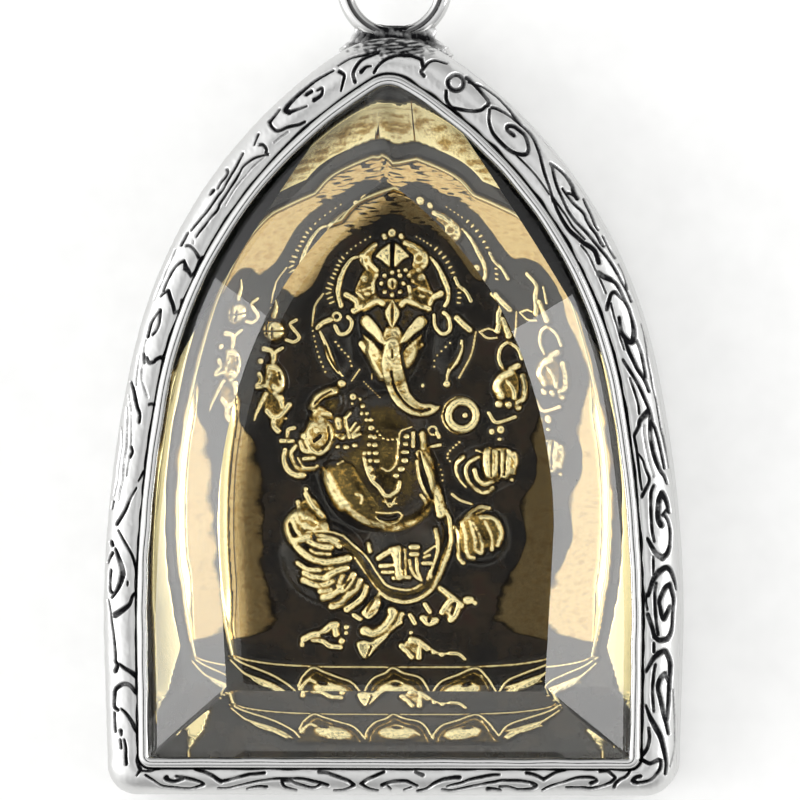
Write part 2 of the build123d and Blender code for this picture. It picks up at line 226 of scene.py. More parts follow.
# The case and the bezel spring from one height, and their feet and points are set out from it.
CASE_FOOT_DROP = 8.55
SPRINGING = CASE_LOW[1] + CASE_FOOT_DROP
CASE_RISE = 29.1
CASE_TOP = CASE_HIGH[2]
CLEARANCE = 0.05
RIM_ROUND = 1.35  # radius of the round from the side wall to the front
BACK_ROUND = 0.9
BACK_WALL = PLATE_LOW[2] - CLEARANCE
CORNER_LEAST = 0.12
BEZEL_WALL = 0.42
GIRDLE_INSET = BEZEL_WALL + CLEARANCE  # from the bezel's outline
GIRDLE_TOP = CASE_TOP - 0.1
BEZEL_RISE = BEZEL_HIGH[1] - SPRINGING
BEZEL_FOOT_DROP = SPRINGING - BEZEL_LOW[1]
BEVEL_SIDE = 3.78  # widths of the bevels, seen from the front
BEVEL_POINT = 4.9
BEVEL_FOOT = 3.43
TABLE_LIFT = 4.75  # of the table's springing over theirs
PLATE_TOP = PLATE_LOW[2] + 0.75

case_arch = Arch(
    SPRINGING, CASE_HIGH[0], CASE_RISE, CASE_FOOT_DROP, foot_taper=0.25, apex_radius=4.9,
    corner_radius=1.5, corner_least=CORNER_LEAST, shoulder_angle=34.1, side_angle=77.4,
)
bezel_arch = Arch(
    SPRINGING, BEZEL_HIGH[0], BEZEL_RISE, BEZEL_FOOT_DROP, foot_taper=0.1, apex_radius=1.7,
    corner_radius=0.6, corner_least=CORNER_LEAST, shoulder_angle=31.4, side_angle=79.9,
)
table_arch = Arch(
    SPRINGING + TABLE_LIFT, BEZEL_HIGH[0] - GIRDLE_INSET - BEVEL_SIDE,
    BEZEL_RISE - GIRDLE_INSET - BEVEL_POINT - TABLE_LIFT,
    BEZEL_FOOT_DROP - GIRDLE_INSET - BEVEL_FOOT + TABLE_LIFT, foot_taper=0.45, apex_radius=0.4,
    corner_radius=0.25, corner_least=CORNER_LEAST, shoulder_angle=35.4, side_angle=67.6,
)


# Curves and fields on arrays

def smooth(points, steps=6):
    """Points on a Catmull-Rom curve through the given ones.

    Each span is a cubic whose ends point along the line between the neighbours.
    """
    knots = np.array(points, float).reshape(-1, 2)
    if len(knots) < 3:
        return knots
    knots = np.vstack([2 * knots[0] - knots[1], knots, 2 * knots[-1] - knots[-2]])
    t = np.linspace(0, 1, steps, endpoint=False)[:, None]
    a, b, c, d = (knots[i:len(knots) - 3 + i, None] for i in range(4))
    bend = 2 * a - 5 * b + 4 * c - d
    twist = 3 * (b - c) + d - a
    curve = b + 0.5 * t * (c - a + t * (bend + t * twist))
    return np.vstack([curve.reshape(-1, 2), knots[-2:-1]])


def away(x, y, path):
    """Distance of each spot from a path, and the share of the path's length passed there.

    On each span the nearest place is the spot's foot on it, held between its ends.
    """
    nearest = np.full(x.shape, 1e9)
    passed = np.zeros(x.shape)
    lengths = np.hypot(*np.diff(path, axis=0).T) + 1e-9
    starts = np.concatenate([[0], np.cumsum(lengths)])
    for (ax, ay), (bx, by), span, start in zip(path[:-1], path[1:], lengths, starts):
        share = np.clip(((x - ax) * (bx - ax) + (y - ay) * (by - ay)) / span**2, 0, 1)
        gap = (x - ax - share * (bx - ax)) ** 2 + (y - ay - share * (by - ay)) ** 2
        closer = gap < nearest
        nearest = np.where(closer, gap, nearest)
        passed = np.where(closer, (start + share * span) / starts[-1], passed)
    return np.sqrt(nearest), passed


def inside(x, y, outline):
    """True for each spot inside a closed outline, by the even-odd rule."""
    crossings = np.zeros(x.shape, bool)
    for (ax, ay), (bx, by) in zip(outline, np.roll(outline, -1, axis=0)):
        if ay != by:
            spans = (ay > y) != (by > y)
            crossings ^= spans & (x < ax + (y - ay) * (bx - ax) / (by - ay))
    return crossings


def ease(low, high, value):
    """A soft step from 0 at low to 1 at high: three times the share squared less twice its cube."""
    share = np.clip((value - low) / (high - low), 0, 1)
    return share * share * (3 - 2 * share)


def round_top(share):
    """Height of a half-round section at a share of its half width."""
    return np.sqrt(np.clip(1 - share**2, 0, None))


def ripple(x, y, scale, seed):
    """An uneven field from about -1 to 1: sines along turned directions, added up."""
    draw = np.random.default_rng(seed)
    total = np.zeros(np.broadcast(x, y).shape)
    for _ in range(9):
        turn = draw.uniform(0, pi)
        rate = 2 * pi / scale * draw.uniform(0.5, 1.6)
        total += np.sin((x * cos(turn) + y * sin(turn)) * rate + draw.uniform(0, 2 * pi))
    return total / 4


def blur(field, passes, reach):
    """A field on a grid averaged over a square of 2 reach + 1 steps, several times over."""
    for _ in range(passes):
        for axis in (0, 1):
            pad = [(0, 0), (0, 0)]
            pad[axis] = (reach + 1, reach)
            run = np.cumsum(np.pad(field, pad, mode="edge"), axis=axis)
            size = field.shape[axis]
            high = np.take(run, np.arange(size) + 2 * reach + 1, axis=axis)
            low = np.take(run, np.arange(size), axis=axis)
            field = (high - low) / (2 * reach + 1)
    return field


# Shares of the half width over which a stroke's, a pillow's and a dome's shine grows from its edge
STROKE_SHINE, PILLOW_SHINE, DOME_SHINE = 0.9, 0.7, 0.6


class Field:
    """A grid's chart places, with the height and shine that shapes are stamped on it with.

    Where shapes cross, the higher height and the brighter shine hold.
    """

    def __init__(self, x, y):
        self.x, self.y = x, y
        self.height = np.zeros(x.shape)
        self.shine = np.zeros(x.shape)

    def raise_to(self, spots, height, shine):
        """Lift spots to a height and rub them to a shine, where they are lower or duller."""
        self.height[spots] = np.maximum(self.height[spots], height)
        self.shine[spots] = np.maximum(self.shine[spots], shine)

    def near(self, points, reach):
        """The spots within reach of the box round some points."""
        low, high = points.min(0) - reach, points.max(0) + reach
        return (self.x > low[0]) & (self.x < high[0]) & (self.y > low[1]) & (self.y < high[1])

    def along(self, path, start_half, end_half, reach):
        """The spots near a path, their distance from it, and its half width beside each."""
        spots = self.near(path, max(start_half, end_half) + reach)
        gap, passed = away(self.x[spots], self.y[spots], path)
        return spots, gap, start_half + (end_half - start_half) * passed

    def stroke(self, start_half, end_half, points, rise=1.0, wear_and_painted_light=1.0):
        """Raise a half-round band along a smooth path; its rise is a share of its half width."""
        spots, gap, half = self.along(smooth(points), start_half, end_half, 0)
        shine = wear_and_painted_light * ease(0, STROKE_SHINE, 1 - gap / half)
        self.raise_to(spots, rise * half * round_top(gap / half), shine)

    def pillow(self, edge, rise, wear_and_painted_light, points):
        """Raise a filled outline that rounds up to a flat top over the width of its edge."""
        corners = np.array(points, float).reshape(-1, 2)
        outline = smooth(np.vstack([corners, corners[:1]]))[:-1]
        spots = self.near(outline, 1)
        x, y = self.x[spots], self.y[spots]
        gap, _ = away(x, y, np.vstack([outline, outline[:1]]))
        share = np.where(inside(x, y, outline), np.minimum(gap / edge, 1), 0)
        self.raise_to(spots, rise * round_top(1 - share), wear_and_painted_light * ease(0, PILLOW_SHINE, share))

    def groove(self, start_half, end_half, points, depth=1.0):
        """Raise a band of one height along a smooth path, with a soft step down at each side."""
        spots, gap, half = self.along(smooth(points), start_half, end_half, 1)
        self.raise_to(spots, depth * (1 - ease(half - 0.7, half + 0.6, gap)), 0)

    def dome(self, x, y, half_x, half_y, turn, rise, wear_and_painted_light=1.0):
        """Raise half an ellipsoid over an ellipse turned by degrees."""
        reach = max(half_x, half_y)
        spots = self.near(np.array([(x, y)]), reach)
        a = radians(turn)
        along = (self.x[spots] - x) * cos(a) + (self.y[spots] - y) * sin(a)
        across = (self.y[spots] - y) * cos(a) - (self.x[spots] - x) * sin(a)
        share = np.hypot(along / half_x, across / half_y)
        self.raise_to(spots, rise * round_top(share), wear_and_painted_light * ease(0, DOME_SHINE, 1 - share))

    def ring(self, x, y, radius, half, rise=1.0):
        """Raise a half-round ring; its rise is a share of its half width."""
        spots = self.near(np.array([(x, y)]), radius + half)
        gap = np.abs(np.hypot(self.x[spots] - x, self.y[spots] - y) - radius)
        shine = ease(0, DOME_SHINE, 1 - gap / half)
        self.raise_to(spots, rise * half * round_top(gap / half), shine)

    def beads(self, start_half, end_half, count, points, reach=1.0):
        """Raise beads spread evenly along a smooth path, reach times as long across it."""
        path = smooth(points)
        lengths = np.concatenate([[0], np.cumsum(np.hypot(*np.diff(path, axis=0).T))])
        for share in np.linspace(0, 1, count):
            runs = [np.clip(share + step, 0, 1) * lengths[-1] for step in (-0.001, 0.001)]
            (x, next_x), (y, next_y) = (np.interp(runs, lengths, path[:, i]) for i in (0, 1))
            half = start_half + (end_half - start_half) * share
            turn = atan2(next_y - y, next_x - x) * 180 / pi + 90
            self.dome(x, y, half * reach, half, turn, half)


# Meshes

def grid_faces(rows, columns, wrap_rows=False, wrap_columns=False, start=0):
    """Corner indices of the quads of a grid, joined round where it wraps."""
    i = np.arange(rows if wrap_rows else rows - 1)
    j = np.arange(columns if wrap_columns else columns - 1)
    i, j = (a.ravel() for a in np.meshgrid(i, j, indexing="ij"))
    k, m = (i + 1) % rows, (j + 1) % columns
    return start + np.stack([i * columns + j, k * columns + j, k * columns + m, i * columns + m], -1)


def grid_normals(grid):
    """Unit normals of a grid of places, from the cross product of its two directions."""
    along = np.gradient(grid, axis=0)
    across = np.gradient(grid, axis=1)
    normals = np.cross(along, across)
    return normals / np.maximum(np.linalg.norm(normals, axis=-1, keepdims=True), 1e-12)


def make_piece(name, points, faces, material, node, sharp=40, fields=None, normals=None):
    """A finished piece: its mesh in place, its finish and its body; the node it stands for is hidden.

    points are in millimetres and faces are arrays of corner indices, one array for each number
    of corners. Edges that turn by more than sharp degrees stay sharp. fields are named values at
    the points. normals, where given, hold at the points.
    """
    mesh = bpy.data.meshes.new(name)
    mesh.vertices.add(len(points))
    mesh.vertices.foreach_set("co", np.ascontiguousarray(points * MM, np.float32).ravel())
    corners = np.concatenate([f.ravel() for f in faces]).astype(np.int32)
    sizes = np.concatenate([np.full(len(f), f.shape[1]) for f in faces])
    mesh.loops.add(len(corners))
    mesh.loops.foreach_set("vertex_index", corners)
    mesh.polygons.add(len(sizes))
    starts = np.concatenate([[0], np.cumsum(sizes)[:-1]]).astype(np.int32)
    mesh.polygons.foreach_set("loop_start", starts)
    mesh.polygons.foreach_set("use_smooth", np.ones(len(sizes), bool))
    mesh.update(calc_edges=True)
    if mesh.validate():
        raise RuntimeError(f"{name} has faces that don't hold")
    mesh.set_sharp_from_angle(angle=radians(sharp))
    for field, values in (fields or {}).items():
        layer = mesh.attributes.new(field, "FLOAT", "POINT")
        layer.data.foreach_set("value", np.ascontiguousarray(values, np.float32).ravel())
    if normals is not None:
        mesh.normals_split_custom_set_from_vertices(normals)
    mesh.materials.append(material)
    piece = bpy.data.objects.new(name, mesh)
    bpy.context.scene.collection.objects.link(piece)
    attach(piece, "root")
    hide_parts(node)
    return piece


def fan(rim, hub, up):
    """Triangles from a ring of corners, clockwise from above, to a hub: facing up or down."""
    faces = np.stack([rim, np.roll(rim, -1), np.full(len(rim), hub)], -1)
    return faces[:, ::-1] if up else faces


def block_faces(rows, columns):
    """Faces of a closed block whose top is a grid: the grid, its walls and a flat underside.

    The underside's points follow the grid's, one under each point of its edge in turn.
    """
    index = np.arange(rows * columns).reshape(rows, columns)
    edge = np.concatenate([index[0, :-1], index[:-1, -1], index[-1, :0:-1], index[:0:-1, 0]])
    feet = rows * columns + np.arange(len(edge))
    walls = np.stack([edge, feet, np.roll(feet, -1), np.roll(edge, -1)], -1)
    return [grid_faces(rows, columns)[:, ::-1], walls, feet[None, ::-1]], edge


def cast_blocks(name, grid, parts, floor_z, normals, fields, material, node):
    """Closed blocks cut from one grid: the rows of each part, its walls and a flat underside.

    fields has, by name, a value's array over the grid and its one value on the underside.
    """
    for k, rows in enumerate(parts):
        top = grid[rows]
        faces, edge = block_faces(*top.shape[:2])
        points = top.reshape(-1, 3)
        feet = points[edge] * (1, 1, 0) + (0, 0, floor_z)
        shades = {
            field: np.concatenate([values[rows].ravel(), np.full(len(feet), below)])
            for field, (values, below) in fields.items()
        }
        bent = np.vstack([normals[rows].reshape(-1, 3), np.zeros((len(feet), 3))])
        points = np.vstack([points, feet])
        make_piece(f"{name}_{k + 1}", points, faces, material, node, 60, shades, bent)


def capped_tube(name, grid, cut_and_painted_dark, silver, sharp):
    """A piece of the case from rings of points, one above the other, closed flat at both ends."""
    rings, count = grid.shape[:2]
    caps = [np.arange(count)[None, :], (rings - 1) * count + np.arange(count)[None, ::-1]]
    faces = [grid_faces(rings, count, wrap_columns=True)] + caps
    make_piece(name, grid.reshape(-1, 3), faces, silver, "case", sharp, {"cut_and_painted_dark": cut_and_painted_dark})


# Materials

MAP, MATH, RAMP = "ShaderNodeMapRange", "ShaderNodeMath", "ShaderNodeValToRGB"
GRAIN = (0.3, 0.7)  # what a grain's values mostly span


def add_node(tree, kind, inputs=(), stops=(), **settings):
    """Add a node with its settings and its ramp's (place, colour) stops, and set or link its inputs.

    Inputs stand in the node's order, or in a dict by name or number. A node among them stands
    for its first output.
    """
    node = tree.nodes.new(kind)
    for name, value in settings.items():
        setattr(node, name, value)
    for name, value in inputs.items() if isinstance(inputs, dict) else enumerate(inputs):
        if isinstance(value, bpy.types.Node):
            value = value.outputs[0]
        if isinstance(value, bpy.types.NodeSocket):
            tree.links.new(value, node.inputs[name])
        else:
            node.inputs[name].default_value = value
    for _ in stops[2:]:
        node.color_ramp.elements.new(0.5)
    for k, (position, shade) in enumerate(stops):
        node.color_ramp.elements[k].position = position
        node.color_ramp.elements[k].color = shade
    return node


def new_material(name):
    """An empty material and its node tree."""
    material = bpy.data.materials.new(name)
    material.use_nodes = True
    material.node_tree.nodes.clear()
    return material, material.node_tree


def grain(tree, per_mm, detail, stretch=(1, 1, 1)):
    """A noise pattern with per_mm grains to the millimetre, on object places stretched by a share.

    The metals' own grain and scratches are too fine to show, so they are drawn coarser, from a
    ninth to a fifth of a millimetre wide.
    """
    places = add_node(tree, "ShaderNodeTexCoord").outputs["Object"]
    stretched = add_node(tree, "ShaderNodeMapping", {"Vector": places, "Scale": stretch})
    inputs = {"Vector": stretched, "Scale": per_mm / MM, "Detail": detail, "Roughness": 0.6}
    return add_node(tree, "ShaderNodeTexNoise", inputs)


def metal_surface(tree, shade, rough, fine, bump_strength, metallic=1.0):
    """A metal's shader, put on the material: its colour, its polish and a faint bump of its grain."""
    inputs = {"Strength": bump_strength, "Distance": 0.02 * MM, "Height": fine}
    bump = add_node(tree, "ShaderNodeBump", inputs)
    inputs = {"Base Color": shade, "Metallic": metallic, "Roughness": rough, "Normal": bump}
    shader = add_node(tree, "ShaderNodeBsdfPrincipled", inputs)
    add_node(tree, "ShaderNodeOutputMaterial", {"Surface": shader})


def oxidised_silver(colours):
    """Cast silver, hand engraved, blackened and wiped: bright on the lands, black in the cuts."""
    material, tree = new_material("oxidised_silver")
    fine = grain(tree, 9.0, 3)
    # The attribute holds the cuts, the seam and the darkening round the point, which is partly a painted
    # shadow of the solder.
    cut_and_painted_dark = add_node(tree, "ShaderNodeAttribute", attribute_name="cut_and_painted_dark").outputs["Fac"]
    uneven = add_node(tree, MAP, (fine, *GRAIN, -0.10, 0.10))
    cut_and_painted_dark = add_node(tree, MATH, (cut_and_painted_dark, uneven), operation="ADD")
    grey = (0.40, linear("#858585"))
    shade = add_node(tree, RAMP, (cut_and_painted_dark,), [(0.12, colours.silver), grey, (0.85, colours.oxide)])
    dull = add_node(tree, MAP, (cut_and_painted_dark, 0.1, 0.8, 0.36, 0.60))
    rough = add_node(tree, MATH, (dull, add_node(tree, MAP, (fine, *GRAIN, -0.05, 0.06))), operation="ADD")
    metal_surface(tree, shade, rough, fine, 0.10)
    return material


def burnished_silver(colours):
    """Fine silver rubbed down with a burnisher: bright, with faint drag marks."""
    material, tree = new_material("burnished_silver")
    fine = grain(tree, 5.0, 2)
    # The attribute darkens the ring where it meets the solder, and along its front, where the dark line is
    # a painted reflection.
    cut_and_painted_dark = add_node(tree, "ShaderNodeAttribute", attribute_name="cut_and_painted_dark").outputs["Fac"]
    shade = add_node(tree, RAMP, (cut_and_painted_dark,), [(0.2, colours.silver), (0.8, colours.oxide)])
    metal_surface(tree, shade, add_node(tree, MAP, (fine, *GRAIN, 0.10, 0.20)), fine, 0.15)
    return material


def antiqued_brass(colours):
    """Cast brass under a black patina, rubbed back to gold on all that stands proud."""
    material, tree = new_material("antiqued_brass")
    fine = grain(tree, 7.0, 3)
    # This attribute holds real wear and also painted light: the belly's painted highlight and lighter
    # slopes towards the upper left.
    rubbed = add_node(tree, "ShaderNodeAttribute", attribute_name="wear_and_painted_light").outputs["Fac"]
    uneven = add_node(tree, MAP, (fine, *GRAIN, -0.12, 0.12))
    worn = add_node(tree, MATH, (rubbed, uneven), operation="ADD")
    blotches = add_node(tree, RAMP, (grain(tree, 0.45, 4),), [
        (0.42, colours.patina), (0.60, linear("#30271d")), (0.75, linear("#33201a")),
    ])
    figure = add_node(tree, RAMP, (worn,), [
        (0.0, colours.brown), (0.40, linear("#5c4f2f")), (0.60, colours.old_brass), (0.86, colours.brass),
    ])
    shown = add_node(tree, MAP, (worn, 0.14, 0.34))
    tarnished = add_node(tree, "ShaderNodeMix", {0: shown, 6: blotches, 7: figure}, data_type="RGBA")

    # The bare floor of the panel: lighter brass with a ragged, finely scratched edge
    ragged = add_node(tree, MAP, (grain(tree, 0.5, 4, (1, 1.3, 1)), *GRAIN, -0.4, 0.4))
    scratches = add_node(tree, MAP, (grain(tree, 5.0, 2, (0.1, 2.0, 1)), 0.35, 0.65, -0.05, 0.05))
    bare = add_node(tree, "ShaderNodeAttribute", attribute_name="bare").outputs["Fac"]
    edge = add_node(tree, MATH, (ragged, scratches), operation="ADD")
    bare = add_node(tree, MATH, (bare, edge), operation="ADD")
    floor = add_node(tree, RAMP, (grain(tree, 2.4, 6, (0.7, 1.3, 1)),), [
        (0.32, linear("#d0ad72")), (0.52, linear("#e0c48e")), (0.8, linear("#b88d4f")),
    ])
    laid = add_node(tree, MAP, (bare, 0.40, 0.78))
    inputs = {0: laid, 6: tarnished.outputs[2], 7: floor}
    shade = add_node(tree, "ShaderNodeMix", inputs, data_type="RGBA").outputs[2]

    # The patina is no metal: where either kind of brass shows, the metal shows first
    ends = add_node(tree, MAP, (bare, 0.28, 0.40)), add_node(tree, MAP, (worn, 0.10, 0.26))
    metallic = add_node(tree, MATH, ends, operation="MAXIMUM")
    worn_rough = add_node(tree, MAP, (worn, 0.2, 0.5, 0.22, 0.25))
    bare_rough = add_node(tree, MAP, (bare, 0.30, 0.40, 0.22, 0.16))
    rough = add_node(tree, MATH, (worn_rough, bare_rough), operation="MINIMUM")
    metal_surface(tree, shade, rough, fine, 0.12, metallic)
    return material


def clear_stone():
    """Clear crystal, faceted and polished: it bends light, and lets lamps shine through to the relief."""
    material, tree = new_material("clear_stone")
    stone = add_node(tree, "ShaderNodeBsdfPrincipled", {
        "Base Color": linear("#fdfdf8"), "Roughness": 0.0, "IOR": 1.54, "Transmission Weight": 1.0,
    })
    clear = add_node(tree, "ShaderNodeBsdfTransparent")
    shadow = add_node(tree, "ShaderNodeLightPath").outputs["Is Shadow Ray"]
    mix = add_node(tree, "ShaderNodeMixShader", (shadow, stone, clear))
    add_node(tree, "ShaderNodeOutputMaterial", {"Surface": mix})
    return material


def studio_paper(colours):
    """Matt white paper: its fibre barely shows."""
    material, tree = new_material("studio_paper")
    shade = add_node(tree, RAMP, (grain(tree, 0.4, 2),), [(0.3, colours.paper), (0.7, linear("#fbfbfa"))])
    shader = add_node(tree, "ShaderNodeBsdfPrincipled", {"Base Color": shade, "Roughness": 0.9})
    add_node(tree, "ShaderNodeOutputMaterial", {"Surface": shader})
    return material


# The rim's engraving, on its chart. A path is written x, y, x, y and on.

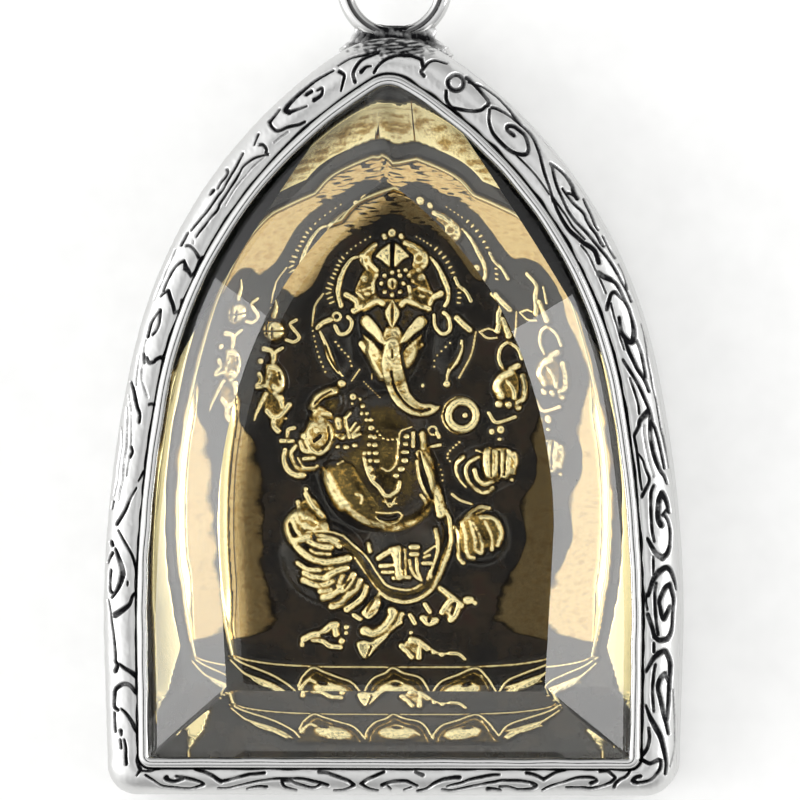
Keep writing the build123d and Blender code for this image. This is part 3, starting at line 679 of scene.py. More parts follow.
SCROLLS = {  # half width at the start, half width at the end, the cut's path
    "point": [
        (1.2, 2.6, [333, 70, 317, 79, 304, 89, 292, 100, 285, 109, 289, 112]),
        (1.8, 0.8, [289, 112, 298, 109, 307, 106]), (2, 2, [306, 94, 311, 91]),
        (1.2, 2.2, [317, 90, 322, 88, 321, 95, 314, 100]), (2, 1, [339, 71, 344, 75, 343, 82, 341, 91]),
        (1, 1.4, [338, 65, 350, 58, 365, 54, 376, 50]),
        (2, 1.6, [355, 82, 353, 74, 356, 66, 362, 59, 371, 55, 378, 52]),
        (2, 1, [361, 72, 366, 67, 371, 66]),
        (1.4, 2, [374, 73, 378, 66, 386, 59, 397, 55, 410, 55, 417, 57, 422, 59]),
        (2.2, 1.8, [422, 59, 423, 68, 421, 72, 424, 76]), (1.6, 1.2, [424, 68, 429, 62, 436, 60, 447, 63]),
    ],
    "left shoulder": [
        (1.5, 1.6, [269, 121, 271, 126, 276, 130.5, 281, 130, 288, 127, 300, 124.5]),
        (1.4, 1.6, [305, 122, 300, 124.5]), (1.4, 1.6, [279, 109, 273, 117, 269, 122]),
        (1.2, 0.8, [258, 134, 256, 139, 254, 144.5]),
        (1.5, 1.5, [259.5, 144.5, 262.5, 144.5, 265, 147, 266.5, 150, 266, 153, 268, 154.5]),
        (1, 1.3, [268.5, 154.5, 261, 156, 254.5, 158, 248, 162, 242.5, 167, 239, 173.5, 235, 180.5,
            230, 188, 224.5, 196.5, 219.5, 204]),
        (1.3, 0.9, [219.5, 204, 217, 210.5, 211, 217, 205, 225, 200, 231, 196, 236.5]),
        (1.2, 1.2, [242.5, 153, 239, 160, 235.5, 167, 231.5, 173.5, 226.5, 182, 223, 189, 218, 195]),
        (1.2, 0.9, [218, 195, 212.5, 203, 207, 211, 201, 218, 196, 224, 191, 230]),
        (1.5, 1, [226.5, 169, 227.5, 172, 225, 177, 220, 183, 217.5, 188]),
        (1.8, 1.2, [213, 190, 210, 194]), (1.2, 1.2, [187.5, 232.5, 184, 239.5, 181, 245]),
        (1.2, 1.8, [186, 245.5, 189, 245.5, 192.5, 248, 196, 252.5, 199, 257.5]),
        (1.6, 1.6, [202.5, 257.5, 199.5, 262, 197.5, 267.5, 195.5, 272, 191.5, 276]),
        (1.2, 0.8, [184, 260.5, 179.5, 263, 175, 267, 171, 273, 167.5, 280, 164.5, 287, 163, 291]),
        (1.4, 3, [184, 261, 185.5, 268]), (3, 1.5, [185.5, 268, 188.5, 271, 190.5, 274.5]),
        (1, 1, [160.5, 296, 163, 293.5, 166.5, 291]), (2, 2, [168, 291, 170, 297.5, 173, 305, 175, 312.5]),
        (1.3, 1.3, [182, 300, 181, 309, 177.5, 312, 175, 313]),
    ],
    "left side": [
        (1, 1.4, [160, 310, 156, 315, 151.5, 322, 149, 330.5, 147.5, 336.5]),
        (1.6, 1.1, [160, 310, 159.5, 318, 158.5, 325, 156, 330.5, 152.5, 334.5]),
        (1.6, 1.9, [146.5, 358, 149, 362.5, 153.5, 362, 156, 359.5, 160.5, 357.5, 163.5, 358, 166, 353]),
        (1.2, 1.5, [143.5, 354, 144, 362.5]), (1.2, 1.8, [130.5, 382, 133.5, 391, 135.2, 400]),
        (1.6, 1.6, [135.2, 400, 137, 407, 139.5, 414, 139, 422]),
        (1.4, 1.4, [131, 447, 132, 452, 130, 457]), (1.4, 1, [149, 404.5, 152.5, 404, 156, 406]),
        (1.6, 0.8, [144, 472, 141, 477, 138.5, 481]),
        (1, 1.8, [136.5, 488, 134, 492, 130.5, 498, 126, 508.5, 122, 515.5, 116.5, 524]),
        (1, 2, [118, 530.5, 123, 539.5, 128, 548, 132.5, 556, 136, 566.5, 137, 573.5, 136.5, 583,
            137, 591]),
        (1.4, 3, [115, 549, 117.5, 555.5, 120, 562.5, 122, 569, 122.5, 574.5]),
        (3, 1.2, [122.5, 574.5, 120.5, 582, 118, 587.5, 115.5, 592, 111.5, 597.5]),
        (1.6, 1.2, [112, 553, 109, 558.5, 107.5, 562.5]),
        (1.4, 1.4, [110.5, 570.5, 109.5, 579.5, 109.5, 589, 111.5, 592.5]),
        (1.8, 1.8, [111, 542, 112, 545]), (1.2, 1.2, [127.5, 582, 127.5, 585]),
        (1, 1, [113, 501.5, 111.5, 508.5]),
        (1.4, 3, [136.5, 592.5, 133, 596, 131.5, 600, 129.5, 604.5, 125, 608.5, 119, 612.5, 115, 615]),
        (0.8, 1.2, [108, 600, 110.5, 614, 111.5, 623, 113.5, 637.5, 115, 651.5, 115, 661]),
        (1.4, 2.2, [115, 661, 117, 665.5, 115, 671]),
        (1.2, 2.4, [119.5, 664.5, 125, 668.5, 129.5, 671, 134, 674]),
        (2.4, 1.6, [134, 674, 137.5, 677, 143, 677.5]),
        (2.2, 1.6, [136.5, 692.5, 130.5, 686, 126, 684, 121, 685, 115, 690, 114, 698, 114, 706.5,
            117.5, 710]),
        (1.3, 1.3, [114, 713, 115, 731.5]), (1, 2.5, [121, 709, 125, 712.5, 130, 719, 134, 725.5]),
        (2.5, 1.8, [134, 725.5, 138, 732.5, 142.5, 737.5]),
    ],
    "left corner": [
        (1.3, 1.2, [145.5, 775.5, 153, 780.5, 161.5, 786, 174, 788, 188, 789, 196, 788]),
        (1.6, 1.8, [196, 788, 203.5, 785.5, 201, 783, 194.5, 780.5, 184.5, 778, 176.5, 777]),
        (2.4, 1.6, [166.5, 778, 166, 779.5, 174, 782, 183, 779.5]),
        (1.4, 1.4, [140.5, 770.5, 150, 771, 155, 769, 161.5, 766.5, 166.5, 764.5, 175.5, 764.5]),
        (1.4, 2.2, [141.5, 741.5, 140, 749.5, 138, 759, 138.5, 763, 140.5, 769.5]),
        (1.8, 1, [140.5, 769.5, 136.5, 776]), (1.2, 1.8, [124, 740, 125.5, 748, 125.5, 756.5, 126, 764]),
        (2, 1.2, [120.5, 731, 121, 735]), (1.2, 1.2, [120, 740, 121, 748]),
    ],
    "right shoulder": [
        (2.2, 2, [467, 77, 475, 84, 483, 93, 489, 101, 488, 105]),
        (1.8, 1.6, [446, 91, 446, 100, 450, 107, 456, 109, 472, 111, 481, 110, 486, 106]),
        (1.2, 1.2, [469, 82, 481, 85, 494, 94, 505, 104, 519, 121, 530, 133]),
        (1.6, 1.6, [492, 107, 499, 109, 511, 116, 521, 124, 531, 134, 539, 150, 544, 170, 550, 189,
            553, 201]),
        (1.6, 2.2, [490, 109, 489, 121, 492, 132, 499, 141, 509, 150, 518, 154, 526, 154, 529, 148,
            526, 136, 520, 130, 514, 126, 508, 126, 508, 130, 514, 135]),
        (0.9, 0.9, [516, 155, 531, 170, 540, 181, 549, 194]),
        (1.6, 2.6, [553, 199, 558, 212, 564, 223, 570, 231, 577, 237, 584, 243, 591, 247, 596, 252,
            599, 262]),
        (1, 1, [553.5, 198, 559, 206, 565.5, 215, 572.5, 226, 579.5, 233.5, 585, 239]),
        (1.6, 1.6, [551, 163, 553, 168, 555, 178, 558.5, 189, 563, 199, 567.5, 209, 574, 219, 581, 226.5,
            588, 233.5, 595.5, 242.5, 602.5, 251, 609.5, 259.5, 617, 271.5, 623.5, 283, 628.5, 292,
            632, 301]),
        (1.5, 2.4, [551, 163, 557, 167, 563.5, 172.5, 569, 179.5, 573, 186, 574, 191, 577.5, 198]),
        (1.6, 1.2, [577, 197, 571, 193.5, 566, 193]),
        (1.3, 1.8, [563, 188.5, 566, 193, 570, 198.5, 574.5, 204, 581, 209.5, 585, 214, 587, 219.5,
            591.5, 227, 596.5, 233.5, 601, 242, 604, 245.5]),
        (1.5, 1.2, [584.5, 199, 587, 205, 591.5, 214.5, 595.5, 224.5, 598.5, 229.5]),
        (1.2, 1.6, [603.5, 236, 609.5, 248, 615.5, 257.5]),
        (0.9, 0.9, [619, 264, 623.5, 272, 627, 283.5, 628.5, 290.5]),
        (1, 1, [581, 245.5, 586.5, 252, 590.5, 259, 595.5, 270, 601, 281, 606, 293]),
        (1, 1, [611, 303, 613.5, 314, 616.5, 324, 620.5, 338, 624, 349]),
        (3, 2.4, [599, 273.5, 604, 276.5, 611, 279.5]),
        (1.8, 1.6, [611, 279.5, 616.5, 283.5, 621.5, 292, 625.5, 301, 630, 310, 633, 320.5]),
        (1.8, 3, [633, 320.5, 634.5, 330, 634, 339.5]),
        (2.2, 1.4, [606.5, 309, 609, 301, 611.5, 294, 615, 292, 619, 295.5, 623.5, 299.5]),
        (2, 2.6, [619.5, 318, 620.5, 325, 622, 332.5, 625.5, 338, 630.5, 342, 634, 341]),
    ],
    "right side": [
        (2.2, 1.6, [625.5, 339.5, 628, 348, 633, 359, 638, 369, 643.5, 377, 647, 384, 649.5, 391]),
        (1.5, 1.5, [637.5, 341, 641, 350, 643.5, 361, 645.5, 372, 646, 377]),
        (0.9, 1.3, [642, 324, 645, 334.5, 647, 348, 648.5, 359, 651, 372, 654, 388, 657, 400.5, 658.5, 410,
            660.5, 421.5, 662.5, 431, 665.5, 444, 668.5, 457.5, 670, 467.5]),
        (1.7, 1.6, [623, 360, 628.5, 368.5, 635, 378.5, 641, 389.5, 646, 400.5, 649.5, 409, 651.5, 416,
            653, 423, 656, 429.5, 660, 444, 663, 457, 665, 468]),
        (3.2, 2, [648.5, 412, 643.5, 416.5, 640, 421, 639, 426]),
        (1.8, 1.3, [639, 426, 636.5, 431, 634, 435.5, 634.5, 440, 636, 448, 637, 455.5, 638.5, 468,
            640, 481, 641.5, 489.5]),
        (2.2, 2.2, [651, 416.5, 651, 425, 650.5, 432.5, 651, 438.5, 652.5, 445.5, 654, 453, 657, 462]),
        (2.2, 1.4, [657, 462, 661, 471, 665, 476.5, 667.5, 483.5]),
        (1.3, 1.3, [630, 378.5, 634.5, 391, 638.5, 404, 639.5, 413.5]),
        (0.9, 2, [638.5, 454, 643, 460.5, 645.5, 468.5, 649.5, 478, 648.5, 484, 644.5, 491, 641.5, 496.5]),
        (1.7, 1.7, [654, 486, 651.5, 492.5, 651, 503.5, 651.5, 519.5, 652.5, 531.5, 654.5, 541]),
        (2.6, 3, [662.5, 493, 659.5, 500, 658.5, 509.5, 659, 519.5, 661.5, 525]),
        (2.8, 1.8, [662.5, 493, 666, 499, 668.5, 506.5, 669.5, 512]),
        (1.8, 1.4, [663.5, 515, 666, 511.5, 668.5, 508.5]),
        (1.5, 1.6, [665, 515, 668.5, 521, 670.5, 529, 671, 537, 670.5, 546]),
        (1.8, 3, [647.5, 539, 652, 547, 656.5, 554, 662.5, 558]),
        (2.6, 1.8, [662.5, 558, 667.5, 553.5, 670.5, 546]),
        (1.4, 1.4, [653.5, 557, 653.5, 566, 653.5, 574.5]),
        (2.2, 3, [648, 595, 651, 586, 654.5, 578, 659.5, 571.5]),
        (2.8, 1.4, [659.5, 571.5, 666, 567.5, 670, 569.5, 673, 574.5, 675.5, 582, 677, 589]),
        (1.8, 1.8, [656.5, 583.5, 655, 592, 655, 600.5, 655.5, 611.5, 656.5, 623, 658.5, 634.5]),
        (2.4, 2.2, [670.5, 584.5, 666, 587.5, 662.5, 594, 660, 600.5, 660.5, 607, 663.5, 619, 667, 614,
            670.5, 607]),
        (2.2, 1.6, [670.5, 584.5, 673, 593.5, 674.5, 601.5, 673.5, 614.5, 673, 624.5]),
        (1.4, 1.4, [646, 594.5, 645.5, 601.5, 647, 609.5]),
        (2.4, 2.2, [647.5, 615, 650, 622, 652.5, 628.5, 654.5, 636.5]),
        (2.6, 2.6, [654.5, 636.5, 659, 640, 663.5, 640, 667.5, 639]),
        (2.4, 1.6, [667.5, 639, 671, 633.5, 673, 624.5]), (1.6, 1.6, [654, 643.5, 654, 652]),
        (1.8, 2.8, [646, 671, 650, 664.5, 654, 658, 659, 653.5]),
        (2.6, 1.8, [659, 653.5, 665, 651, 668, 655, 670.5, 662, 671, 671, 670, 682.5, 669.5, 690, 669, 703,
            668, 715.5, 667, 720.5]),
        (1.7, 1.7, [655.5, 665, 654, 673.5, 652.5, 690, 653, 699.5, 654, 711]),
        (2.6, 2.2, [665.5, 674, 661.5, 677.5, 659, 683.5, 658.5, 690, 661, 699.5, 663.5, 711, 666, 720.5]),
        (1.8, 1.6, [665.5, 674, 669, 681.5, 670.5, 689.5]), (1.9, 1.6, [666, 720.5, 669, 733.5]),
    ],
    "right corner": [
        (1.5, 3, [645.5, 706, 650, 717, 655.5, 727]),
        (3, 1.6, [655.5, 727, 661, 737, 664, 747.5, 666, 757, 667, 765, 666, 774]),
        (1.8, 2.2, [648.5, 728.5, 649.5, 738, 647, 748.5, 641, 755.5]),
        (2.2, 1.2, [641, 755.5, 634, 762, 625, 765.5, 620, 766.5]),
        (1.8, 1.8, [640, 759.5, 644, 761, 649.5, 763.5, 654, 762, 658.5, 760, 661.5, 761]),
        (1.8, 1.7, [661.5, 761, 661, 768, 657.5, 773.5, 652, 779.5, 644, 782.5, 636.5, 783.5]),
        (2.2, 2, [636.5, 783.5, 632.5, 782, 635.5, 778, 640.5, 776.5]),
        (1.4, 1.8, [630.5, 767.5, 629, 772.5, 625.5, 777, 620, 780, 615.5, 784.5, 614, 788]),
    ],
    "foot": [
        (1.8, 1.4, [600, 771, 604.5, 770.5, 608, 771, 611.5, 774.5, 615, 778, 614, 780, 610.5, 783,
            603.5, 786, 596.5, 788, 589.5, 789, 582.5, 788, 575.5, 788, 566.5, 788]),
        (1.2, 1.5, [542.5, 790.5, 549, 787, 556, 784.5, 563.5, 782.5, 570.5, 780, 577.5, 778, 585, 777.5,
            592, 778, 596, 780]),
        (1.6, 2.4, [596, 780, 596.5, 782, 591, 784]),
        (1.6, 1.9, [526, 773, 531, 774, 536.5, 776, 543.5, 780]),
        (1.9, 1.1, [543.5, 780, 549, 776.5, 554.5, 773, 560, 771, 564.5, 769.5]),
        (1.2, 1.7, [442, 790, 451, 791, 459.5, 789.5, 466.5, 788, 473.5, 786.5, 480.5, 785, 487.5, 783.5,
            494.5, 782.5, 501, 781, 508, 781, 515, 781, 522, 781.5, 528, 782.5, 532, 783.5]),
        (2.4, 1.2, [532, 784, 536, 786.5, 532, 789.5, 524.5, 790, 517, 790]),
        (1.2, 1.8, [517, 790, 512, 788.5, 506, 787, 500, 787.5]),
        (2.2, 1, [487.5, 789.5, 494.5, 789.5, 501, 791]),
        (1.2, 1.8, [447, 787, 454, 785, 461, 783.5, 467, 781, 474, 779, 481, 777.5]),
        (1.8, 1.2, [481, 777.5, 487.5, 776, 494.5, 775, 499.5, 775]),
        (1.4, 2.2, [417.5, 791.5, 426, 789.5, 430.5, 786.5, 434.5, 783.5, 442.5, 780, 448, 779, 454, 778,
            459.5, 778]),
        (1.8, 2.2, [415.5, 772, 419, 774, 422.5, 775.5]),
        (2.2, 1.6, [382, 786, 387.5, 783.5, 393, 782, 400, 781.5, 406, 781.5, 410.5, 783.5, 417, 786.5]),
        (1.2, 1, [388, 787, 391, 790]), (1.2, 1, [411, 788, 404, 790.5]),
        (1.5, 2, [384, 772, 378.5, 774.5, 373.5, 777, 368, 779.5, 363.5, 782.5, 361, 784.5]),
        (2, 1, [361, 784.5, 364.5, 787, 370, 789.5, 378, 791]),
        (1.8, 2, [318.5, 772, 327, 773, 332, 775, 340, 778, 347.5, 781, 352.5, 784.5]),
        (1.8, 1, [352.5, 784.5, 354, 786, 349.5, 788.5, 342.5, 790.5, 334, 791]),
        (1, 1.5, [218, 788.5, 228, 788.5, 239, 786, 249.5, 783.5, 258, 781.5, 265, 780.5, 273.5, 779.5,
            282, 779, 290.5, 779, 300, 779, 307, 780]),
        (1.6, 2, [307, 780, 314, 782, 320.5, 783.5, 327.5, 786]),
        (2, 1.4, [282, 781, 290.5, 781.5, 294.5, 783.5, 302.5, 786, 309.5, 788, 315.5, 788, 320.5, 785]),
        (1.8, 1, [282, 783, 284, 787, 289.5, 789, 296.5, 790.5]),
        (1, 1.8, [247, 789.5, 253, 788, 260, 787, 266.5, 787.5]),
        (1.4, 2.4, [195.5, 769, 204.5, 772, 212, 776, 218, 780.5, 221, 782]),
        (1.8, 1.5, [221, 782, 228, 780.5, 237, 778, 244, 776, 249.5, 774.5, 256.5, 774, 264.5, 773]),
    ],
}
HAIRLINES = [  # shallow cuts, with the same columns
    (1, 1, [264.5, 157, 253, 166.5, 246, 175, 239, 183, 232, 193, 225, 205.5]),
    (1.4, 1.4, [288, 132, 280.5, 137, 274, 142.5]), (1, 1, [193.5, 241, 193, 243.5]),
    (0.8, 0.8, [175, 249, 171, 259, 166.5, 268, 162.5, 279, 157.5, 290, 154, 299.5]),
    (0.9, 0.9, [145.5, 339.5, 144, 346, 143.5, 354]),
    (1, 1.5, [144, 362.5, 141.5, 370, 142, 380, 144.5, 388.5, 147.5, 397.5]),
    (0.9, 0.9, [138.5, 355.5, 137, 367, 136, 376.5, 136, 385]), (0.9, 0.9, [128, 395, 129, 399.5]),
    (1.3, 1.3, [126.5, 408, 126.5, 427, 126.3, 443.5, 124.5, 457.5, 123, 470, 122.5, 480, 120, 489,
        118, 499.5]),
    (1, 1, [129.5, 403, 130.5, 409.5, 131, 424, 131.5, 436, 131, 445]),
    (1, 1, [130, 457.5, 128, 467, 126.5, 475.5]),
    (0.8, 0.8, [121, 427, 121.5, 441.5, 120, 454, 118.5, 464, 116.5, 480, 113.5, 495.5]),
    (1.3, 1.5, [644, 425.5, 643.5, 432.5, 645.5, 443, 647.5, 455.5, 651, 468.5, 653.5, 476]),
    (1.2, 1.2, [674, 690, 675, 715.5, 675.5, 738.5, 674, 754, 671, 766.5]),
]
SCROLL_RING = (456, 82.5, 8.0, 2.6)  # a round cut: x, y, radius, half width
CUT_UNEVENNESS = (0.88, 0.2, 0.55)  # the graver's depth: its mean, how far it strays, its least
HAIRLINE_DEPTH = 0.42
RIM_SPLIT = 2.6  # the engraved part's depth below the front
RIM_PARTS = 4
CUT_FADE = (2.2, 1.3)  # depths below the front between which the cuts run out
SEAM_DEPTH = 0.6  # the dark seam along the bezel, as a share of the engraving's depth


def carve(x, y):
    """Depth share, 0 to 1, of the engraving at rim chart places: the deepest groove, engraved unevenly."""
    field = Field(x, y)
    for strokes in SCROLLS.values():
        for stroke in strokes:
            field.groove(*stroke)
    for stroke in HAIRLINES:
        field.groove(*stroke, depth=HAIRLINE_DEPTH)
    centre_x, centre_y, radius, half = SCROLL_RING
    field.ring(centre_x, centre_y, radius, half, rise=1 / half)
    mean, stray, least = CUT_UNEVENNESS
    return field.height * np.clip(mean + stray * ripple(x, y, 26.0, 15), least, 1)


def solder_dark_and_shadow(x, y):
    """A dark, streaked, ragged ellipse round the point at rim chart places: partly dark solder, partly the
    solder's painted shadow.
    """
    reach = np.hypot((x - 396) / 44, (y - 44) / 15)
    streaks = 0.35 + 0.65 * ease(-0.5, 0.4, ripple(0.3 * x, 1.5 * y, 5.0, 16))
    return 0.85 * streaks * (1 - ease(0.55, 1.25, reach + 0.22 * ripple(x, y, 9.0, 13)))


def nearest_on(outline, spots):
    """The nearest place on a closed outline to each spot."""
    spans = np.roll(outline, -1, axis=0) - outline
    passed = ((spots[:, None] - outline) * spans).sum(-1) / (spans**2).sum(-1)
    places = outline + np.clip(passed, 0, 1)[..., None] * spans
    nearest = ((places - spots[:, None]) ** 2).sum(-1).argmin(1)
    return places[np.arange(len(spots)), nearest]


def rim_section(t, sizes):
    """Grid of the rim from the side wall over its round to its inner edge, one row a station.

    Across the rim a place goes from the case's outline to the nearest place on the well's. The
    top falls from the outline's quarter round, and slopes down a little to the inner edge. The
    second result is each place's distance from that edge.
    """
    wall_steps, round_steps, flat_steps = 8, 46, 18
    outer = case_arch.loop(t)[:, :2]
    inner = nearest_on(bezel_arch.loop(bezel_arch.stations(0.05), -CLEARANCE)[:, :2], outer)
    outer, inner = outer[:, None], inner[:, None]
    width = np.hypot(*(outer - inner).transpose(2, 0, 1))
    turn = np.linspace(0, pi / 2, round_steps)
    wall_z = np.linspace(-RIM_SPLIT, -RIM_ROUND, wall_steps + 1)[:-1]
    flat = np.linspace(0, 1, flat_steps + 1)[1:]
    inset = np.concatenate([np.zeros(len(wall_z)), RIM_ROUND * (1 - np.cos(turn)), np.zeros(len(flat))])
    depth = np.concatenate([wall_z, -RIM_ROUND * (1 - np.sin(turn)), -sizes.rim_crown / MM * flat**2])
    rest = np.concatenate([np.zeros(len(wall_z) + len(turn)), flat])
    across = inset + rest * (width - RIM_ROUND) + np.where(rest > 0, RIM_ROUND, 0)
    share = across / width
    plan = outer * (1 - share[..., None]) + inner * share[..., None]
    height = np.broadcast_to(CASE_TOP + depth, share.shape)
    return np.dstack([plan, height]), width - across


def loop_normals(grid):
    """Outward unit normals of a grid whose first row follows its last."""
    return -grid_normals(np.concatenate([grid[-1:], grid, grid[:1]]))[1:-1]


def engraved_rim(sizes, silver):
    """The rim: its smooth section sunk along its normals by the cuts, the seam and the uneven filing of its
    lands.
    """
    t = case_arch.stations(sizes.rim_pitch / MM)
    grid, to_well = rim_section(t, sizes)
    x, y, z = np.moveaxis(grid, -1, 0)
    chart_x, chart_y = rim_chart(x, y, z)
    cut_and_painted_dark = carve(chart_x, chart_y) * ease(*(CASE_TOP - depth for depth in CUT_FADE), z)
    seam = 1 - ease(0.01, 0.09, to_well - 0.03 * ripple(x, y, 1.6, 14))
    worn = ripple(x, y, 1.1, 11) + 0.6 * ripple(x, y, 0.45, 12)
    sink = sizes.engraving_depth / MM * (cut_and_painted_dark + SEAM_DEPTH * seam) + sizes.hand_wear / MM * (worn + 1.6)
    grid = grid - loop_normals(grid) * (sink * ease(0.02, 0.2, to_well + 0.1))[..., None]
    # The darkening round the point, partly a painted shadow of the solder, joins the cuts and the seam.
    cut_and_painted_dark = np.clip(np.maximum.reduce([cut_and_painted_dark, seam, solder_dark_and_shadow(chart_x, chart_y)]), 0, 1)
    count = len(grid)
    bounds = [round(count * k / RIM_PARTS) for k in range(RIM_PARTS + 1)]
    cast_blocks(
        "rim_part", grid, [np.arange(a, b + 1) % count for a, b in zip(bounds, bounds[1:])],
        CASE_TOP - RIM_SPLIT, loop_normals(grid), {"cut_and_painted_dark": (cut_and_painted_dark, 0)}, silver, "case",
    )


def plain_back(silver):
    """The back and side wall: inset outlines up a quarter round, then the well down to its floor."""
    t = case_arch.stations(0.25)
    split = CASE_TOP - RIM_SPLIT
    section = [(BACK_ROUND * (1 - sin(a)), BACK_ROUND * (1 - cos(a))) for a in np.linspace(0, pi / 2, 9)]
    rows = [np.column_stack([case_arch.loop(t, d)[:, :2], np.full(2 * len(t) - 2, z)]) for d, z in section]
    rows.append(rows[-1] * (1, 1, 0) + (0, 0, split))
    inner = bezel_arch.loop(t, -CLEARANCE)[:, :2]
    rows += [np.column_stack([inner, np.full(len(inner), z)]) for z in (split, BACK_WALL)]
    capped_tube("case_back", np.stack(rows), np.zeros((len(rows), len(inner))), silver, 40)


def engraved_case(sizes, colours):
    """The case: four engraved rim parts over a plain back."""
    silver = oxidised_silver(colours)
    engraved_rim(sizes, silver)
    plain_back(silver)


def bezel_strip(sizes, colours):
    """The strip round the stone: its section carried round the outline, with a rubbed lip.

    Where the section rises past the case and turns in, the lip stands proud by an uneven wave.
    """
    section = [  # inset from the strip's outer face, height over the back
        (0.0, 0.85), (0.0, 7.6), (0.0, 8.16), (0.05, 8.30), (0.14, 8.38), (0.28, 8.41), (0.42, 8.38),
        (0.50, 8.30), (0.53, 8.22), (0.52, 8.14), (0.42, 8.10), (0.42, 7.8), (0.42, 0.85),
    ]
    pitch = 0.1
    t = bezel_arch.stations(pitch)
    wave = ripple(np.arange(2 * len(t) - 2) * pitch, 0.0, 3.0, 4)
    rows = []
    for inset, z in section:
        outline = bezel_arch.loop(t, inset)
        proud = np.clip((z - 7.9) / 0.3, 0, 1) * np.clip(inset / 0.1, 0, 1) * sizes.lip_wave / MM * wave
        place = outline[:, :2] + outline[:, 2:] * proud[:, None]
        rows.append(np.column_stack([place, z + proud * 0.5]))
    grid = np.stack(rows)
    faces = [grid_faces(len(rows), grid.shape[1], wrap_rows=True, wrap_columns=True)]
    make_piece("bezel_strip", grid.reshape(-1, 3), faces, burnished_silver(colours),
               "bezel", 50, {"cut_and_painted_dark": np.zeros(grid.shape[:2])})


RING_BORE, RING_WIRE, RING_LAND = 2.1, 0.9, 0.55  # bore radius, wire thickness, width worn flat inside
RING_REACH = RING_BORE + sqrt((RING_WIRE / 2) ** 2 - (RING_LAND / 2) ** 2)
RING_Y = CASE_HIGH[1] - RING_REACH - RING_WIRE / 2


def hanging_ring(colours):
    """The ring: a round section carried round a circle, trimmed back to the bore where it is worn flat.

    It is darkened where it meets the solder, and along its front by a thin dark line that is a painted
    reflection.
    """
    around_steps, section_steps = 160, 40
    around = np.linspace(0, 2 * pi, around_steps, endpoint=False)[:, None]
    turn = np.linspace(0, 2 * pi, section_steps, endpoint=False)[None, :]
    reach = np.maximum(RING_REACH + RING_WIRE / 2 * np.cos(turn), RING_BORE)
    grid = np.dstack([
        reach * np.sin(around), RING_Y + reach * np.cos(around),
        CASE_TOP / 2 + RING_WIRE / 2 * np.sin(turn) + 0 * around,
    ])
    faces = [grid_faces(around_steps, section_steps, wrap_rows=True, wrap_columns=True)[:, ::-1]]
    darkening = 0.5 * (1 - ease(-2.4, -1.6, grid[..., 1] - RING_Y))
    # Painted dark reflection: a thin dark line along the wire's front.
    darkening = np.maximum(darkening, 0.75 * (1 - ease(0.10, 0.34, np.abs(turn - 1.75))))
    make_piece("hanging_ring", grid.reshape(-1, 3), faces, burnished_silver(colours),
               "case", 50, {"cut_and_painted_dark": darkening})


def solder_saddle(colours):
    """The solder between the point and the ring: a waisted, uneven pad that hugs the ring's round."""
    low, high = SPRINGING + CASE_RISE - 1.0, RING_Y - RING_BORE - 0.02
    level = np.linspace(0, 1, 40)[:, None]
    turn = np.linspace(0, 2 * pi, 90, endpoint=False)[None, :]
    half_x = 2.9 - 1.1 * ease(0, 1, level) + 0.1 * level
    half_z = 1.35 - 0.9 * ease(0, 0.95, level)
    rough = ripple(level * 3, np.cos(turn) * 3 + np.sin(turn), 1.0, 7)
    rough = rough + ripple(level * 3, np.cos(turn) * 3, 0.45, 8) * 0.6
    swell = 1 + 0.05 * rough
    hug = 0.55 * np.cos(turn) ** 2 * ease(0.6, 1, level)
    grid = np.dstack([
        half_x * np.cos(turn) * swell, low + (high - low) * level + hug + 0 * turn,
        CASE_TOP / 2 + half_z * np.sin(turn) * swell,
    ])
    darkening = np.clip(0.75 - 0.55 * rough * 0.5 - 0.7 * np.abs(np.cos(turn)) ** 6 + 0 * level, 0, 1)
    capped_tube("solder_saddle", grid, darkening, oxidised_silver(colours), 60)


def cut_stone():
    """The stone: flat underside, upright girdle, and bevels ruled from the girdle to the table."""
    t = bezel_arch.stations(0.3)
    corners = [1, 2, 3]
    t = np.sort(np.concatenate([t[np.abs(t[:, None] - corners).min(1) > 0.004], corners]))
    girdle = bezel_arch.loop(t, GIRDLE_INSET)[:, :2]
    table = table_arch.loop(t)[:, :2]
    levels = [(girdle, STONE_LOW[2]), (girdle, GIRDLE_TOP), (table, STONE_HIGH[2])]
    grid = np.stack([np.column_stack([outline, np.full(len(outline), z)]) for outline, z in levels])
    count = grid.shape[1]
    ring = np.arange(count)
    faces = [
        grid_faces(3, count, wrap_columns=True), fan(ring, 3 * count, False),
        fan(2 * count + ring, 3 * count + 1, True),
    ]
    points = np.vstack([grid.reshape(-1, 3), grid[0].mean(0), grid[2].mean(0)])
    make_piece("stone", points, faces, clear_stone(), "crystal", 12)


# The plate's relief, on its chart

PANEL_HALVES = [  # height, half width of the thin line round the panel
    (188, 0), (196, 23), (205, 40), (220, 53), (229, 79), (239, 100), (266, 123), (310, 143), (360, 157),
    (410, 167), (460, 175), (510, 177.5), (561, 176.5), (612, 171), (655, 162),
]
PANEL_CUSP = 3  # the row where the lobe meets the side
FLOOR_LINE = 664

